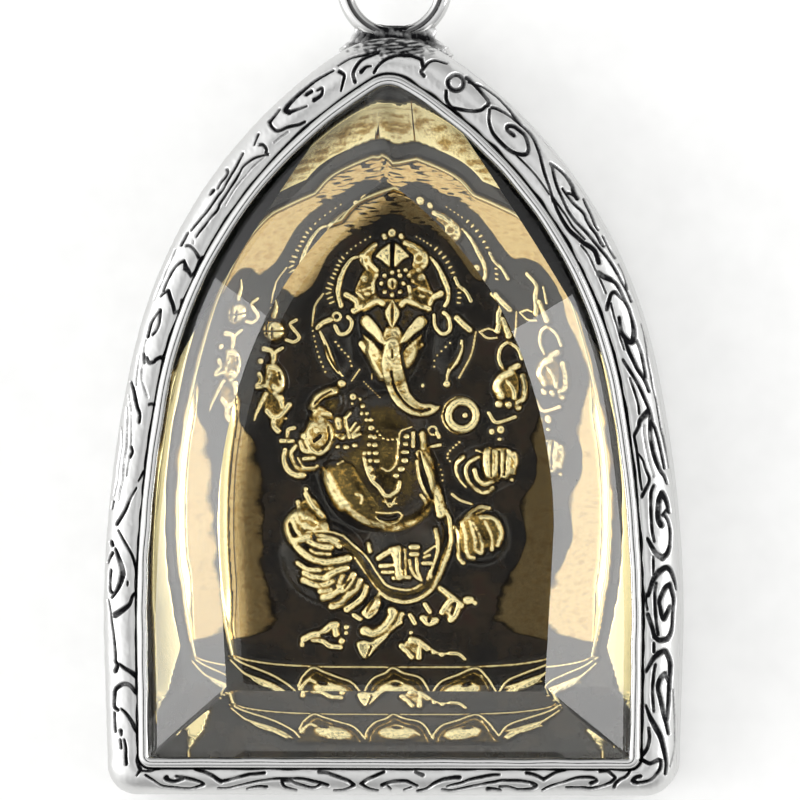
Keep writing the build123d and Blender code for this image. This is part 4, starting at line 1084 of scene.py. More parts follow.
BODY = {  # x, y, half width, half height, turn, rise in millimetres, wear
    "crown": (392, 260, 31, 24, 0, 0.30, 0.34), "head": (392, 322, 34, 34, 0, 0.45, 0.30),
    "face": (392, 345, 27, 40, 0, 0.60, 0.50), "left ear": (331, 345, 18, 31, -14, 0.10, 0.0),
    "right ear": (453, 345, 19, 31, 14, 0.10, 0.0), "chest": (384, 432, 42, 40, 0, 0.52, 0.34),
    "belly": (378, 476, 58, 55, 0, 0.95, 0.44), "left shoulder": (325, 404, 20, 16, -35, 0.40, 0.45),
    "left forearm": (310, 448, 26, 22, 0, 0.34, 0.30), "left fist": (318, 436, 17, 18, 0, 0.45, 0.50),
    "left trouser": (324, 562, 46, 40, 40, 0.50, 0.30), "left knee": (302, 530, 20, 22, 0, 0.50, 0.35),
    "right trouser": (480, 536, 28, 28, 0, 0.50, 0.30), "lap": (405, 556, 42, 40, 0, 0.42, 0.05),
    "bowl hand": (485, 468, 29, 22, 0, 0.35, 0.30), "pot": (273, 330, 14, 13, 0, 0.30, 0.55),
    "left back hand": (272, 380, 13, 18, 0, 0.18, 0.35),
    "right back hand": (510, 388, 14, 22, 0, 0.20, 0.35),
}
BANDS = [  # half width at the start, at the end, path, rise as a share, wear
    # The first four bands are low and broad: the bright lower left of the belly that they give is a painted
    # highlight.
    (8, 9, [322, 472, 331, 484, 340, 498, 348, 507], 0.30, 0.85),
    (7, 6.5, [344, 504, 356, 515, 370, 523, 386, 527, 400, 526, 414, 520, 425, 511, 431, 500], 0.45, 0.95),
    (9, 8, [338, 468, 346, 479, 352, 490], 0.12, 0.42), (6, 5, [352, 484, 362, 500, 374, 512], 0.10, 0.26),
    (5.5, 6, [424, 455, 428, 470, 433, 488, 437, 506], 0.5, 0.62),
    (6.5, 6.5, [441, 505, 444, 530, 444, 546, 440, 562, 434, 577, 423, 588, 408, 595, 395, 595, 383, 590,
        371, 578, 360, 562, 350, 549, 338, 541], 0.35, 0.42),
    (5, 5, [323, 331, 318, 342, 322, 358, 329, 372], 0.15, 0.12),
]
PILLOWS = [  # edge, rise, wear, outline
    (14, 4, 0.40, [316, 468, 330, 460, 352, 464, 364, 482, 374, 498, 384, 510, 400, 512, 416, 504, 428, 488,
        433, 505, 426, 519, 405, 531, 380, 532, 357, 523, 339, 509, 326, 492]),
    (5, 4, 0.62, [309, 406, 313, 396, 324, 389, 336, 388, 338, 392, 328, 396, 320, 403, 316, 411]),
    (5, 7, 0.85, [384, 340, 392, 336, 400, 340, 402, 352, 404, 364, 407, 378, 411, 392, 420, 401, 430, 402,
        436, 404, 441, 405, 437, 413, 426, 418, 412, 417, 398, 409, 388, 396, 381, 380, 379, 362]),
    (4, 6, 0.95, [360, 316, 367, 314, 375, 321, 382, 331, 387, 345, 380, 345, 371, 337, 362, 329,
        358, 322]),
    (4, 6, 0.95, [425, 316, 418, 315, 410, 323, 403, 333, 399, 344, 407, 343, 416, 335, 424, 329,
        428, 322]),
    (4, 7, 0.95, [392, 299, 397, 304, 401, 312, 399, 320, 392, 329, 385, 320, 383, 312, 387, 304]),
    (4, 5, 0.95, [391, 241, 384, 245, 377, 251, 373.5, 257, 379, 261, 391, 268]),
    (4, 5, 0.95, [393, 241, 400, 245, 406, 251, 410, 257, 404, 261, 393, 268]),
    (4, 6, 0.90, [354.8, 640.7, 362.6, 638.4, 370.4, 639.6, 376, 636.2, 390.5, 630.6, 386.1, 639.6,
        377.1, 648.5, 370.4, 656.3, 363.8, 660.2, 358.2, 655.2, 354.3, 646.3]),
    (4, 5, 0.85, [377, 594, 380.5, 601.6, 379.4, 610.5, 372.7, 618.3, 366, 620.6, 360.4, 614, 368.2, 607.2,
        373.8, 599.4]),
    (4, 5, 0.85, [451.4, 601.6, 458.1, 603.8, 458.1, 608.3, 452.5, 617.2, 448.1, 618.3, 442.5, 614,
        442.5, 608.3, 449.2, 605]),
    (4, 4, 0.80, [420.2, 616, 427, 614, 436, 617, 439, 622.8, 434, 626.2, 427, 624, 422.4, 621.7]),
    (3, 4, 0.95, [459.2, 601.6, 465, 597, 471.5, 597.7, 472.6, 602.2, 466, 605.5]),
    (4, 4, 0.80, [403, 641, 411, 634, 417.4, 644, 425.8, 645.2, 419, 650, 417.4, 658.5, 412, 654, 404, 649,
        400.6, 645]),
    (5, 6, 0.75, [484, 449, 498, 446, 512, 449, 515, 462, 510, 477, 496, 480, 486, 475, 482, 462]),
    (5, 4, 0.80, [385, 326, 399, 326, 404, 338, 401, 352, 384, 352, 380, 338]),
    (5, 4, 0.66, [422, 438, 430, 446, 436, 462, 441, 482, 444, 500, 438, 512, 430, 496, 424, 470,
        418, 450]),
    (5, 4, 0.60, [262, 398, 270, 392, 280, 402, 286, 412, 280, 428, 270, 424, 262, 410]),
    (5, 5, 0.72, [360, 331, 370, 338, 380, 348, 384, 356, 386, 374, 380, 382, 370, 368, 362, 350]),
    (5, 5, 0.72, [424, 331, 414, 338, 404, 348, 401, 356, 405, 370, 413, 366, 421, 351]),
    (3, 3, 0.85, [240, 671, 256, 676, 274, 683, 288, 692, 291, 699, 272, 692, 254, 684]),
    (3, 3, 0.85, [548, 671, 532, 676, 516, 682, 504, 690, 500, 698, 518, 692, 536, 684]),
    (6, 5, 0.62, [318, 404, 326, 408, 333, 418, 340, 428, 338, 440, 328, 450, 314, 452, 303, 444, 302, 430,
        308, 414]),
    (5, 4, 0.52, [352, 300, 362, 288, 374, 286, 380, 296, 404, 296, 412, 286, 424, 288, 432, 300, 424, 312,
        404, 306, 380, 306, 362, 314]),
    (4, 4, 0.50, [358, 276, 366, 266, 378, 272, 374, 284, 362, 290, 352, 292]),
    (4, 4, 0.50, [426, 276, 418, 266, 406, 272, 410, 284, 422, 290, 432, 292]),
    (5, 4, 0.60, [292, 512, 300, 500, 312, 496, 322, 508, 330, 524, 326, 534, 306, 538, 292, 534,
        286, 524]),
    (5, 4, 0.45, [456, 520, 470, 512, 488, 516, 502, 528, 500, 544, 486, 550, 468, 558, 458, 548]),
    (4, 4, 0.60, [264, 368, 276, 366, 283, 378, 280, 392, 270, 396, 262, 384]),
    (4, 4, 0.60, [496, 376, 512, 368, 520, 380, 518, 396, 502, 400, 494, 390]),
    (4, 4, 0.55, [362, 250, 370, 245, 377, 249, 372, 258, 376, 268, 371, 272, 363, 266, 359, 257]),
    (4, 4, 0.60, [405, 243, 416, 247, 425, 256, 424, 266, 417, 272, 410, 266, 412, 257, 405, 251]),
    (4, 4, 0.60, [353, 311, 366, 303, 380, 300, 384, 306, 376, 307, 363, 312, 353, 317]),
    (4, 4, 0.60, [430, 310, 416, 302, 402, 299, 400, 306, 411, 307, 421, 311, 428, 315]),
    (4, 5, 0.80, [388, 551, 400, 547, 402, 560, 403, 578, 394, 580, 392, 565]),
]
STROKES = {  # half width at the start, at the end, path
    "finial": [
        (4.4, 4.4, [383, 236, 384, 237]), (4.4, 4.4, [400, 236, 401, 237]),
    ],
    "crown": [
        (4.4, 5.0, [374, 245, 369, 249, 361, 256]),
        (5.0, 5.0, [405, 243, 416, 248, 424, 256, 424, 264, 418, 271]), (4.4, 4.4, [361, 260, 366, 269]),
        (4.1, 4.1, [368, 263, 376, 271]), (3.7, 3.7, [376, 275, 372, 283, 372, 292]),
        (3.7, 3.7, [408, 287, 410, 296, 405, 302]), (3.4, 3.4, [356, 292, 362, 290, 370, 287]),
        (3.4, 3.4, [356, 292, 362, 299]), (4.4, 4.4, [365, 294, 368, 294]),
        (3.4, 3.4, [418, 288, 424, 290, 430, 293]), (3.7, 3.7, [419, 296, 423, 297]),
        (5.0, 5.0, [345, 295, 355, 301, 356, 308]), (5.7, 4.4, [440, 294, 432, 298, 429, 304]),
        (5.4, 5.0, [353, 311, 363, 306, 376, 301, 383, 304]),
        (4.6, 5.0, [428, 309, 416, 304, 406, 301, 401, 305]),
    ],
    "halo": [
        (2.4, 4.5, [361, 256, 351, 259, 344, 268, 339, 279]), (4.5, 3.9, [339, 279, 337, 292, 340, 306]),
        (2.4, 4.8, [429, 257, 437, 267, 443, 279]), (4.8, 3.2, [443, 279, 447, 290, 447, 300, 444, 306]),
        (2.9, 3.2, [454, 278, 458, 286, 465, 292, 470, 301]),
        (2.0, 2.0, [322, 294, 314, 305, 312, 315, 311, 326]),
    ],
    "face": [
        (5.5, 6.1, [361, 344, 366, 352, 373, 364, 381, 378]), (4.9, 4.9, [420, 345, 413, 354, 408, 362]),
    ],
    "ears": [
        (4.1, 4.8, [316, 328, 322, 323, 329, 320]),
        (3.4, 3.7, [334, 326, 339, 334, 347, 332, 351, 323, 347, 317]),
        (2.4, 4.8, [319, 332, 325, 345, 329, 358]), (4.8, 1.8, [329, 358, 334, 368, 341, 376]),
        (4.8, 5.0, [456, 318, 463, 325, 469, 330]),
        (3.0, 3.7, [433, 315, 434, 326, 441, 334, 449, 330, 448, 318, 443, 313]),
        (2.4, 4.8, [461, 341, 460, 351, 455, 362]), (4.8, 1.8, [455, 362, 448, 371, 445, 383]),
        (1.8, 1.8, [475, 332, 472, 349, 468, 360, 458, 378]),
    ],
    "left back hand": [
        (1.5, 4.8, [274, 299, 275, 307, 273, 316]),
        (3.2, 3.2, [295, 320, 289, 324, 292, 329, 298, 337, 293, 342, 285, 340]),
        (4.8, 4.1, [263, 349, 270, 351, 272, 356]), (3.2, 4.5, [281, 348, 274, 353, 272, 362]),
        (5.2, 6.2, [268, 367, 275, 368, 280, 376, 281, 384, 278, 390, 274, 387]),
        (4.1, 4.1, [258, 374, 260, 380, 256, 387, 264, 386]), (3.2, 3.2, [269, 376, 266, 384]),
        (5.2, 2.0, [265, 395, 260, 404, 255, 414, 253, 420]), (5.2, 4.8, [274, 394, 279, 400, 281, 407]),
        (4.8, 4.8, [266, 411, 272, 417, 279, 416, 288, 405]), (5.5, 4.8, [273, 419, 273, 426, 277, 431]),
    ],
    "right back hand": [
        (3.5, 5.2, [491, 294, 500, 304, 498, 314, 498, 324, 497, 331]),
        (4.8, 5.7, [502, 320, 505, 328, 508, 336]), (2.4, 2.9, [507, 305, 509, 320]),
        (2.2, 2.2, [479, 332, 487, 329, 495, 331]), (2.2, 2.2, [479, 332, 486, 338, 496, 338]),
        (3.2, 3.2, [507, 342, 500, 348, 498, 359, 502, 369]), (3.2, 3.2, [507, 342, 517, 349, 521, 359]),
        (5.2, 5.2, [510, 369, 517, 366]), (6.5, 7.2, [510, 373, 501, 377, 496, 387, 500, 396]),
        (4.5, 4.5, [506, 381, 513, 390, 514, 398]), (4.5, 4.5, [522, 376, 524, 386, 523, 398, 517, 403]),
        (3.2, 3.2, [488, 413, 494, 422, 503, 421, 514, 417]),
    ],
    "left arm": [
        (6.2, 6.7, [312, 405, 317, 397, 326, 392, 334, 390]), (3.9, 3.9, [322, 414, 328, 414, 331, 419]),
        (5.5, 5.2, [328, 423, 331, 431, 330, 441, 324, 450, 317, 453, 310, 448, 306, 442]),
        (4.5, 4.5, [300, 442, 303, 450, 311, 452]), (3.5, 3.5, [303, 459, 314, 458]),
        (4.1, 3.5, [348, 413, 344, 419, 346, 428, 349, 437]), (3.2, 2.4, [350, 430, 355, 423]),
        (3.2, 2.4, [352, 434, 359, 427]), (3.2, 2.9, [353, 437, 359, 434]),
        (6.5, 6.5, [337, 421, 338, 428]), (5.7, 5.7, [335, 435, 342, 436]),
        (4.1, 5.5, [284, 450, 283, 460, 286, 469, 294, 475, 302, 475]),
        (3.5, 4.1, [295, 446, 290, 453, 292, 462, 298, 469, 313, 469]),
        (2.2, 2.2, [297, 458, 300, 464, 304, 468]), (3.5, 3.5, [293, 428, 287, 430, 286, 436]),
        (3.9, 3.2, [280, 441, 292, 441]), (5.2, 3.9, [276, 396, 280, 398, 281, 407]),
    ],
    "chest": [
        (3.0, 3.7, [364, 458, 367, 469, 372, 480, 379, 487, 385, 495, 390, 496]),
        (3.7, 3.0, [390, 496, 398, 490, 400, 482]),
        (1.7, 1.7, [411, 427, 401, 431, 399, 437, 398, 449, 396, 464, 389, 471, 382, 468]),
        (3.4, 3.4, [413, 433, 413, 446]), (5.0, 5.6, [422, 434, 424, 447]),
        (3.0, 3.4, [429, 447, 439, 445]), (3.7, 3.7, [436, 433, 438, 437]),
    ],
    "belly": [
        (1.7, 1.7, [376, 512, 388, 513, 398, 512, 402, 515]),
        (2.0, 2.0, [376, 517, 382, 522, 390, 524, 398, 521, 402, 515]),
        # The broad, low stroke that ends the next line gives a painted highlight on the belly's left side.
        (2.9, 2.9, [356, 494, 362, 496, 361, 503]), (11, 11, [328, 478, 335, 492, 342, 504], 0.3, 0.95),
    ],
    "garment": [
        (2.7, 3.2, [417, 461, 419, 476, 423, 488, 430, 500]),
        (5.4, 7.2, [419, 453, 426, 466, 433, 482, 437, 500, 440, 514]),
        (2.2, 2.7, [441, 495, 446, 512, 448, 520]), (3.2, 3.5, [421, 495, 426, 504, 422, 512]),
        (3.8, 4.3, [441, 505, 448, 518, 450, 532, 450, 542, 447, 555, 442, 568, 437, 580]),
        (3.5, 3.5, [435, 529, 437, 540, 437, 554, 433, 566, 430, 577]),
        (4.0, 3.2, [437, 580, 430, 590, 417, 599, 402, 602, 389, 599, 380, 594]),
        (2.2, 2.2, [421, 584, 412, 589, 400, 589.3, 386, 585, 377, 573.7, 370.4, 563.7, 363.8, 554.7,
            353.7, 545.8, 341.4, 534.6]),
        (2.2, 2.7, [361, 552, 353, 545, 342, 536, 331, 532, 320, 531, 307, 532]),
        (2.0, 2.2, [353.7, 557, 361.5, 568, 368.2, 578.2, 376, 588.2, 387.2, 597, 400, 600.5]),
    ],
    "drape": [
        (4.6, 4.6, [390, 550, 398, 548]), (5.9, 6.5, [397, 550, 398, 562, 399, 576]),
        (2.8, 2.8, [404, 549, 405, 562, 405, 575]), (3.7, 3.7, [393, 578, 401, 577, 409, 577]),
        (4.6, 4.6, [411, 547, 417, 547]), (4.0, 4.0, [411, 554, 417, 554]),
        (3.0, 3.0, [409, 560, 411, 570, 416, 577, 421, 580]), (3.0, 3.0, [416, 558, 417, 571, 420, 578]),
        (4.6, 4.6, [378, 558, 386, 553, 394, 550]), (3.9, 3.9, [380, 566, 393, 565]),
        (3.4, 3.4, [382, 572, 393, 572]), (4.0, 4.0, [367, 544, 369, 551]),
        (2.4, 2.4, [424, 553, 430, 549, 434, 546]), (3.0, 3.0, [424, 557, 429, 555]),
        (3.7, 3.7, [423, 563, 430, 563]), (3.0, 3.0, [430, 571, 427, 579]),
    ],
    "left trouser": [
        (4.5, 5.6, [295, 511, 287, 519, 285, 528, 288, 537]), (4.5, 4.5, [291, 519, 295, 528, 300, 535]),
        (4.1, 4.1, [295, 516, 299, 523, 304, 528]), (4.1, 5.4, [297, 502, 299, 510, 304, 517]),
        (4.5, 5.6, [305, 494, 311, 505, 321, 516]), (3.5, 3.5, [306, 516, 313, 521, 320, 525, 324, 528]),
        (4.9, 4.1, [304, 524, 310, 528, 317, 527]), (3.5, 3.9, [316, 535, 328, 537, 337, 540]),
        (4.5, 4.5, [318, 540, 328, 540, 339, 546]), (5.4, 5.6, [308, 541, 320, 546, 330, 547]),
        (3.5, 3.5, [310, 550, 316, 553, 329, 554]),
        (5.9, 6.3, [292, 541, 301, 551, 311, 558, 325, 562, 341, 560, 348, 558]),
        (4.1, 4.5, [297, 563, 307, 569, 320, 570]), (3.5, 3.9, [324, 569, 332, 567]),
        (5.4, 5.6, [304, 573, 313, 577, 328, 578]), (6.7, 5.6, [328, 576, 336, 571, 346, 568]),
        (5.6, 5.9, [303, 580, 316, 585, 324, 585, 332, 581]), (5.4, 5.4, [320, 591, 330, 590]),
        (6.3, 6.3, [323, 598, 332, 595, 341, 589]), (4.9, 4.9, [338, 585, 342, 576]),
        (6.7, 5.9, [341, 590, 348, 585, 353, 575]), (6.3, 6.3, [331, 606, 341, 603, 349, 594]),
        (5.9, 5.4, [350, 594, 356, 589, 360, 581]), (5.9, 5.4, [346, 609, 353, 604, 361, 597, 365, 587]),
        (5.6, 6.3, [288, 537, 292, 541, 300, 540, 308, 537]),
    ],
    "right trouser": [
        (3.2, 3.9, [453.7, 527, 457, 534.6, 457, 546, 458, 557, 462.6, 562.5]),
        (3.4, 4.4, [461.5, 522.4, 464.8, 533.5, 465.4, 546, 468.2, 557, 472.6, 558]),
        (3.4, 4.4, [469.3, 521.2, 472.6, 531.3, 474.9, 540.2, 474.9, 549, 480.4, 552.5]),
        (2.7, 3.7, [472.6, 522.4, 478.2, 532.4, 481.6, 542.5, 481.6, 551.4]),
        (3.2, 3.9, [484.4, 521.2, 489, 530, 491.6, 538, 491.8, 549]),
        (4.4, 4.6, [480.4, 516.8, 491.6, 518, 498.3, 524.6, 500.5, 534.6, 497.2, 544.7]),
        (3.4, 3.4, [464.8, 516.8, 472.6, 510, 480.4, 506.7, 488.3, 508]),
        (2.0, 2.0, [476, 513.4, 483.8, 510]),
    ],
    "left foot": [
        (5.6, 6.2, [303, 639, 312, 635, 321, 633, 330, 626, 335, 625]), (4.4, 4.0, [302, 639, 301, 645]),
        (4.0, 4.6, [311, 640, 321, 641, 329, 646, 339, 647]), (5.6, 5.6, [334, 628, 335, 634]),
    ],
    "right foot": [
        (4.5, 6.2, [439, 588, 448, 595, 456, 602, 460, 605]), (5.7, 5.7, [450, 600, 445, 607, 442, 612]),
        (5.7, 5.7, [458, 606, 454, 615, 450, 619]), (3.9, 3.9, [424, 604, 429, 612]),
        (5.5, 5.5, [422, 618, 428, 623, 435, 620]), (3.9, 3.9, [409, 615, 414, 623]),
        (7.2, 4.8, [391, 611, 391, 618, 385, 625]), (4.5, 4.5, [401, 614, 396, 624]),
    ],
    "standing foot": [
        (7.7, 6.7, [364, 631, 374, 633, 385, 626, 393, 613]),
        (3.0, 1.7, [424.6, 645, 432.5, 650.7, 440.3, 654, 451.4, 653, 463.7, 657.4]),
        (4.4, 4.4, [373, 648, 381, 638, 392, 627, 399, 622]), (6.2, 5.2, [411, 640, 418, 642, 426, 648]),
        (4.9, 4.4, [418, 657, 419, 646]), (5.2, 4.6, [401, 646, 406, 651, 411, 657]),
        (3.7, 2.8, [449, 653, 458, 654, 464, 659]),
    ],
    "sash leaf": [
        (2.0, 7.9, [378, 593, 375, 603]), (7.9, 5.4, [375, 603, 364, 613]),
        (4.1, 4.1, [353, 615, 359, 619]),
    ],
    "bowl": [
        (4.1, 2.0, [462, 457, 456, 463, 455, 471, 459, 480, 465, 487]),
        (3.2, 3.9, [478, 457, 468, 463, 465, 472, 469, 483, 478, 491, 486, 492, 492, 488]),
        (4.1, 4.8, [474, 470, 477, 479, 484, 484, 492, 481]), (8.2, 9.0, [488, 452, 488, 462, 490, 473]),
        (4.1, 4.1, [495, 451, 496, 463, 496, 474]), (4.1, 4.1, [502, 451, 503, 463, 502, 475]),
        (4.1, 4.1, [508, 453, 509, 463, 507, 475]), (5.5, 5.5, [513, 455, 514, 463, 512, 472]),
        (2.4, 2.4, [451, 494, 459, 500, 471, 504]),
    ],
    "small leaves": [
        (1.3, 1.3, [371, 373, 371, 379]), (1.6, 1.6, [358.5, 369.5, 350.5, 381]),
        (1.3, 1.3, [446, 313, 446, 326]), (3.7, 3.7, [308.5, 407, 314.5, 411.5]),
        (1.8, 1.8, [384, 501.5, 389.5, 503.5, 396.5, 503.5]), (2.2, 1.6, [475.5, 450, 483.5, 453]),
        (1.6, 1.8, [337, 464, 343, 461]), (1.8, 1.8, [384, 497, 390, 507, 396, 497]),
    ],
    "petal lines": [
        (4.1, 3.2, [299, 689, 303, 684, 308, 680, 314, 682]), (2.7, 2.7, [330, 683.5, 338, 688]),
        (2.2, 2.2, [380, 687.6, 387, 683, 394.9, 680.7, 406, 686, 417.9, 693.3]),
        (2.2, 1.8, [480, 675, 487, 687.6]), (2.2, 2.2, [504, 687.6, 523.5, 680.7, 545.3, 672.7]),
        (2.0, 1.6, [522.3, 686.4, 540.7, 680.7]),
        (2.0, 2.0, [231.5, 655.9, 243, 664, 265.9, 673.1, 277.4, 678.9, 285.4, 683.5]),
    ],
    "floor line": [
        (2.0, 1.6, [234, 656, 245, 660, 270, 664, 300, 666, 335, 667, 393, 667]),
        (1.6, 2.0, [393, 667, 451, 667, 486, 666, 516, 664, 541, 660, 552, 656]),
    ],
}
DOMES = [  # jewels, knuckles and small lumps: x, y, half width, half height, turn, rise
    (391.5, 283.8, 7.5, 7.5, 0, 6), (391, 233, 5.8, 5.8, 0, 4), (363.5, 278.6, 5.3, 5.3, 0, 4),
    (420.2, 277.6, 6.3, 5.8, 0, 4), (408, 275.7, 3.2, 3.2, 0, 2.6), (411.6, 281.4, 3.2, 3.2, 0, 2.6),
    (405, 270.4, 3.2, 3.2, 0, 2.6), (398, 271, 2.5, 2.5, 0, 2), (392.4, 355.2, 8.5, 8.2, 0, 9.5),
    (340.4, 383.9, 5.8, 5.3, 0, 4), (445.8, 384, 5.1, 4.8, 0, 4), (421.7, 385.6, 2.8, 3.2, 0, 2.4),
    (319.8, 419, 6.0, 5.8, 0, 4), (310, 425.5, 5.3, 5.3, 0, 4), (315.6, 430.5, 4.8, 4.6, 0, 3.5),
    (304.6, 436, 6.9, 5.8, 0, 4.5), (336.8, 446.5, 4.1, 3.2, 0, 3), (345.7, 447, 4.6, 3.4, 0, 3),
    (354.6, 445.2, 4.1, 3.2, 0, 3), (304.6, 489, 3.4, 3.4, 0, 3), (316.3, 466.6, 3.0, 3.0, 0, 2.4),
    (464.2, 415.4, 4.1, 4.1, 0, 3), (259.3, 361.4, 4.1, 4.4, 0, 3), (284.3, 418.6, 2.5, 2.5, 0, 2),
    (273, 331, 14.4, 13.2, 0, 5), (498.3, 404, 5.8, 5.3, 0, 4), (507.8, 405, 5.3, 5.3, 0, 4),
    (517.4, 407, 5.1, 5.3, 0, 3.6), (496.7, 479.5, 3.4, 3.4, 0, 3), (505.3, 477.6, 3.7, 3.4, 0, 3),
    (511, 479.5, 3.4, 3.4, 0, 3), (340.5, 641, 4.6, 4.6, 0, 3.5), (345, 627.2, 3.9, 3.7, 0, 3),
    (345, 633, 3.2, 3.2, 0, 2.4), (467.5, 600, 8.0, 5.8, 0, 4.5), (474, 603, 3.4, 3.4, 0, 2.6),
    (432.8, 652, 3.9, 3.7, 0, 3), (440.8, 654.3, 3.7, 3.7, 0, 3), (410, 632.5, 3.0, 3.0, 0, 2.4),
    (498.6, 439.3, 3.4, 2.8, 0, 2.4), (499.6, 429.7, 5.1, 5.8, 0, 2.6), (491, 431.7, 4.1, 4.6, 0, 2.2),
    (366, 420, 2.8, 2.8, 0, 2.2), (370.5, 420, 3.0, 3.0, 0, 2.4), (370.7, 428, 4.1, 3.7, 0, 3),
    (370, 436, 3.4, 3.2, 0, 2.6), (374.5, 437, 3.4, 3.2, 0, 2.6), (375, 445, 3.7, 3.4, 0, 2.8),
    (369, 444.5, 3.2, 3.0, 0, 2.4), (364.5, 453, 3.0, 3.0, 0, 2.4), (369.4, 453, 3.0, 3.0, 0, 2.4),
    (376, 453, 3.9, 3.2, 0, 2.8), (365.4, 460.5, 3.0, 3.0, 0, 2.4), (370.3, 460.5, 3.2, 3.2, 0, 2.6),
    (377, 461, 3.9, 3.2, 0, 2.8), (369.8, 469.3, 4.8, 5.3, 0, 3.5), (373, 477, 3.9, 4.1, 0, 3),
    (406.3, 436.4, 4.1, 3.9, 0, 3), (405.8, 444, 3.7, 3.4, 0, 2.8), (405, 452, 5.8, 3.2, 0, 2.8),
    (405, 460.4, 4.8, 4.1, 0, 3.2), (401.5, 469, 4.8, 3.9, 0, 3.2), (396.5, 475.7, 3.9, 3.4, 0, 2.8),
    (352, 397, 5.1, 4.6, 30, 3.5), (361.8, 406, 3.7, 3.4, 0, 2.6), (361, 413.5, 2.8, 2.8, 0, 2.2),
    (366.3, 413.5, 2.8, 2.8, 0, 2.2), (359, 399, 2.5, 2.5, 0, 2), (351, 403.7, 2.3, 2.3, 0, 1.8),
]
# Beads round the crown's jewel: x, y, radius, half width, how many
CLUSTER = (391.5, 283.8, 11.0, 3.6, 8)
RINGS = [  # eyes, curls and rolls: x, y, radius, half width
    (335.6, 316.7, 3.8, 2.4), (418.3, 258.5, 4.4, 2.2), (365.2, 260.4, 3.4, 1.8), (461.3, 415.4, 13.6, 5.2),
    (459.5, 415.4, 18.2, 1.6), (431.7, 430.7, 4.2, 2.0), (372, 343, 2.2, 1.0), (410, 343.5, 2.2, 1.0),
]
BEADS = [  # half width at the start, at the end, how many, path, reach across it
    (1.5, 1.9, 6, [369, 237, 359, 243, 350, 249, 345.8, 253.2]),
    (1.7, 1.8, 6, [342, 258, 338, 263, 334, 273, 331.3, 278.1], 2.2),
    (1.8, 1.8, 5, [329.3, 284, 327, 290, 328.4, 296, 330.8, 302.5], 3.0),
    (1.4, 1.9, 5, [415.5, 237, 425.5, 242.7, 429.8, 245.6]),
    (1.8, 1.8, 8, [435, 249, 443, 257, 449.4, 267.6, 453, 276, 456, 284], 2.2),
    (1.7, 1.7, 4, [457.5, 288, 458.5, 294, 458, 303], 2.0),
    (1.9, 1.9, 9, [311.5, 331, 314.9, 347, 318.4, 359, 324, 372]),
    (1.9, 2.0, 7, [334.4, 342, 340.8, 350, 347.6, 357, 350.5, 366]),
    (1.7, 1.8, 6, [449.2, 343, 441.2, 350.6, 433.7, 359.2, 433.2, 366.7]),
    (1.2, 1.2, 8, [363, 382, 371, 390, 379, 397]), (1.6, 1.6, 6, [377, 431, 384, 439, 397, 439]),
    (2.0, 2.2, 5, [434.5, 460.4, 438.4, 466.1, 441, 475, 441.2, 480.4]),
    (2.0, 2.0, 7, [458.4, 442.2, 449, 450.8, 446, 456.5, 449, 461.3]),
    (1.6, 1.6, 7, [392, 330, 392, 338, 392.2, 345]),
]
CUTS = [  # grooves in what stands proud: half width, depth, path
    (1.3, 4.0, [391.5, 241, 391.5, 267]), (1.4, 2.6, [392, 303, 392, 325]),
    (1.2, 2.0, [391.7, 282, 392, 287]), (1.4, 2.4, [392.4, 351, 392.4, 358]),
    (1.3, 3.0, [391, 372, 394, 388, 402, 400, 411, 408, 421, 411, 429, 409]),
    (1.0, 1.8, [263, 331.5, 288, 331.5]), (1.2, 2.0, [265.5, 323, 265.5, 335]),
    (1.2, 2.2, [271, 328, 271, 338]), (1.2, 2.4, [314, 404, 321, 397, 331, 391]),
    (1.2, 2.2, [328, 427, 329, 440, 322, 449]), (1.6, 3.2, [314, 441, 320, 436]),
    (1.3, 3.4, [419, 452, 422, 466, 427, 485, 431, 498]),
    (1.5, 3.0, [441, 520, 445, 531, 444, 543, 439, 557, 433, 574]),
    (1.2, 2.6, [498.7, 451, 498.9, 464, 498.6, 477]), (1.2, 2.6, [401.9, 553, 401.9, 568]),
    (2.2, 3.4, [379, 517, 388, 519, 396, 517]), (1.2, 3.0, [289, 524, 293, 533]),
    (1.2, 2.6, [373, 599, 366, 611]), (1.2, 2.4, [346, 603, 354, 598, 361, 589]),
    (1.2, 2.2, [344, 588, 351, 579]), (1.8, 3.4, [321, 635.5, 327, 635.5]),
    (1.2, 2.4, [370.4, 646.3, 366, 657.4]), (1.2, 2.4, [491, 450, 491, 476]),
    (1.2, 2.4, [505, 450, 504, 475]), (1.3, 2.4, [324, 346, 330, 360, 337, 371]),
    (1.3, 2.4, [460, 346, 455, 358, 449, 368]), (1.5, 2.6, [454, 603, 451, 613]),
    (1.3, 2.4, [278, 373, 279, 379]), (1.4, 3.0, [428, 621, 429, 617]),
]
# Each petal's outline from cusp to cusp, in pairs, then its leaf and the leaf's hollow as domes
PETALS = [  # from the left
    ([(297, 686), (302, 676), (312, 668), (323, 672), (339, 678), (350, 682), (357, 689), (363, 698)],
        (331, 691, 26, 11, 10), (322, 683, 6, 2, 10)),
    ([(363, 698), (365, 688), (373, 678), (384, 673), (392, 668), (403, 673), (418, 677), (425, 685),
        (431, 698)], (396, 691, 27, 11, 0), (396, 684, 6, 2, 0)),
    ([(431, 698), (433, 690), (441, 681), (456, 675), (475, 668), (486, 677), (492, 686), (497, 694)],
        (461, 691, 26, 11, -10), (466, 684, 6, 2, -12)),
]
HALF_PETALS = [  # at the left and the right: outer line, inner line
    ([(228, 656), (243, 664), (266, 673), (278, 679), (291, 688), (297, 696)], [(229, 660), (241, 672),
        (250, 677), (268, 686), (284, 696)]),
    ([(560, 656), (544, 665), (523, 673), (506, 681), (497, 694)], [(558, 662), (540, 676), (524, 684),
        (506, 696)]),
]
PETAL_FOOT = 704
PETAL_INNER = (0.87, 5)  # the thinner line in a petal: its share of the width, and how far it lies below


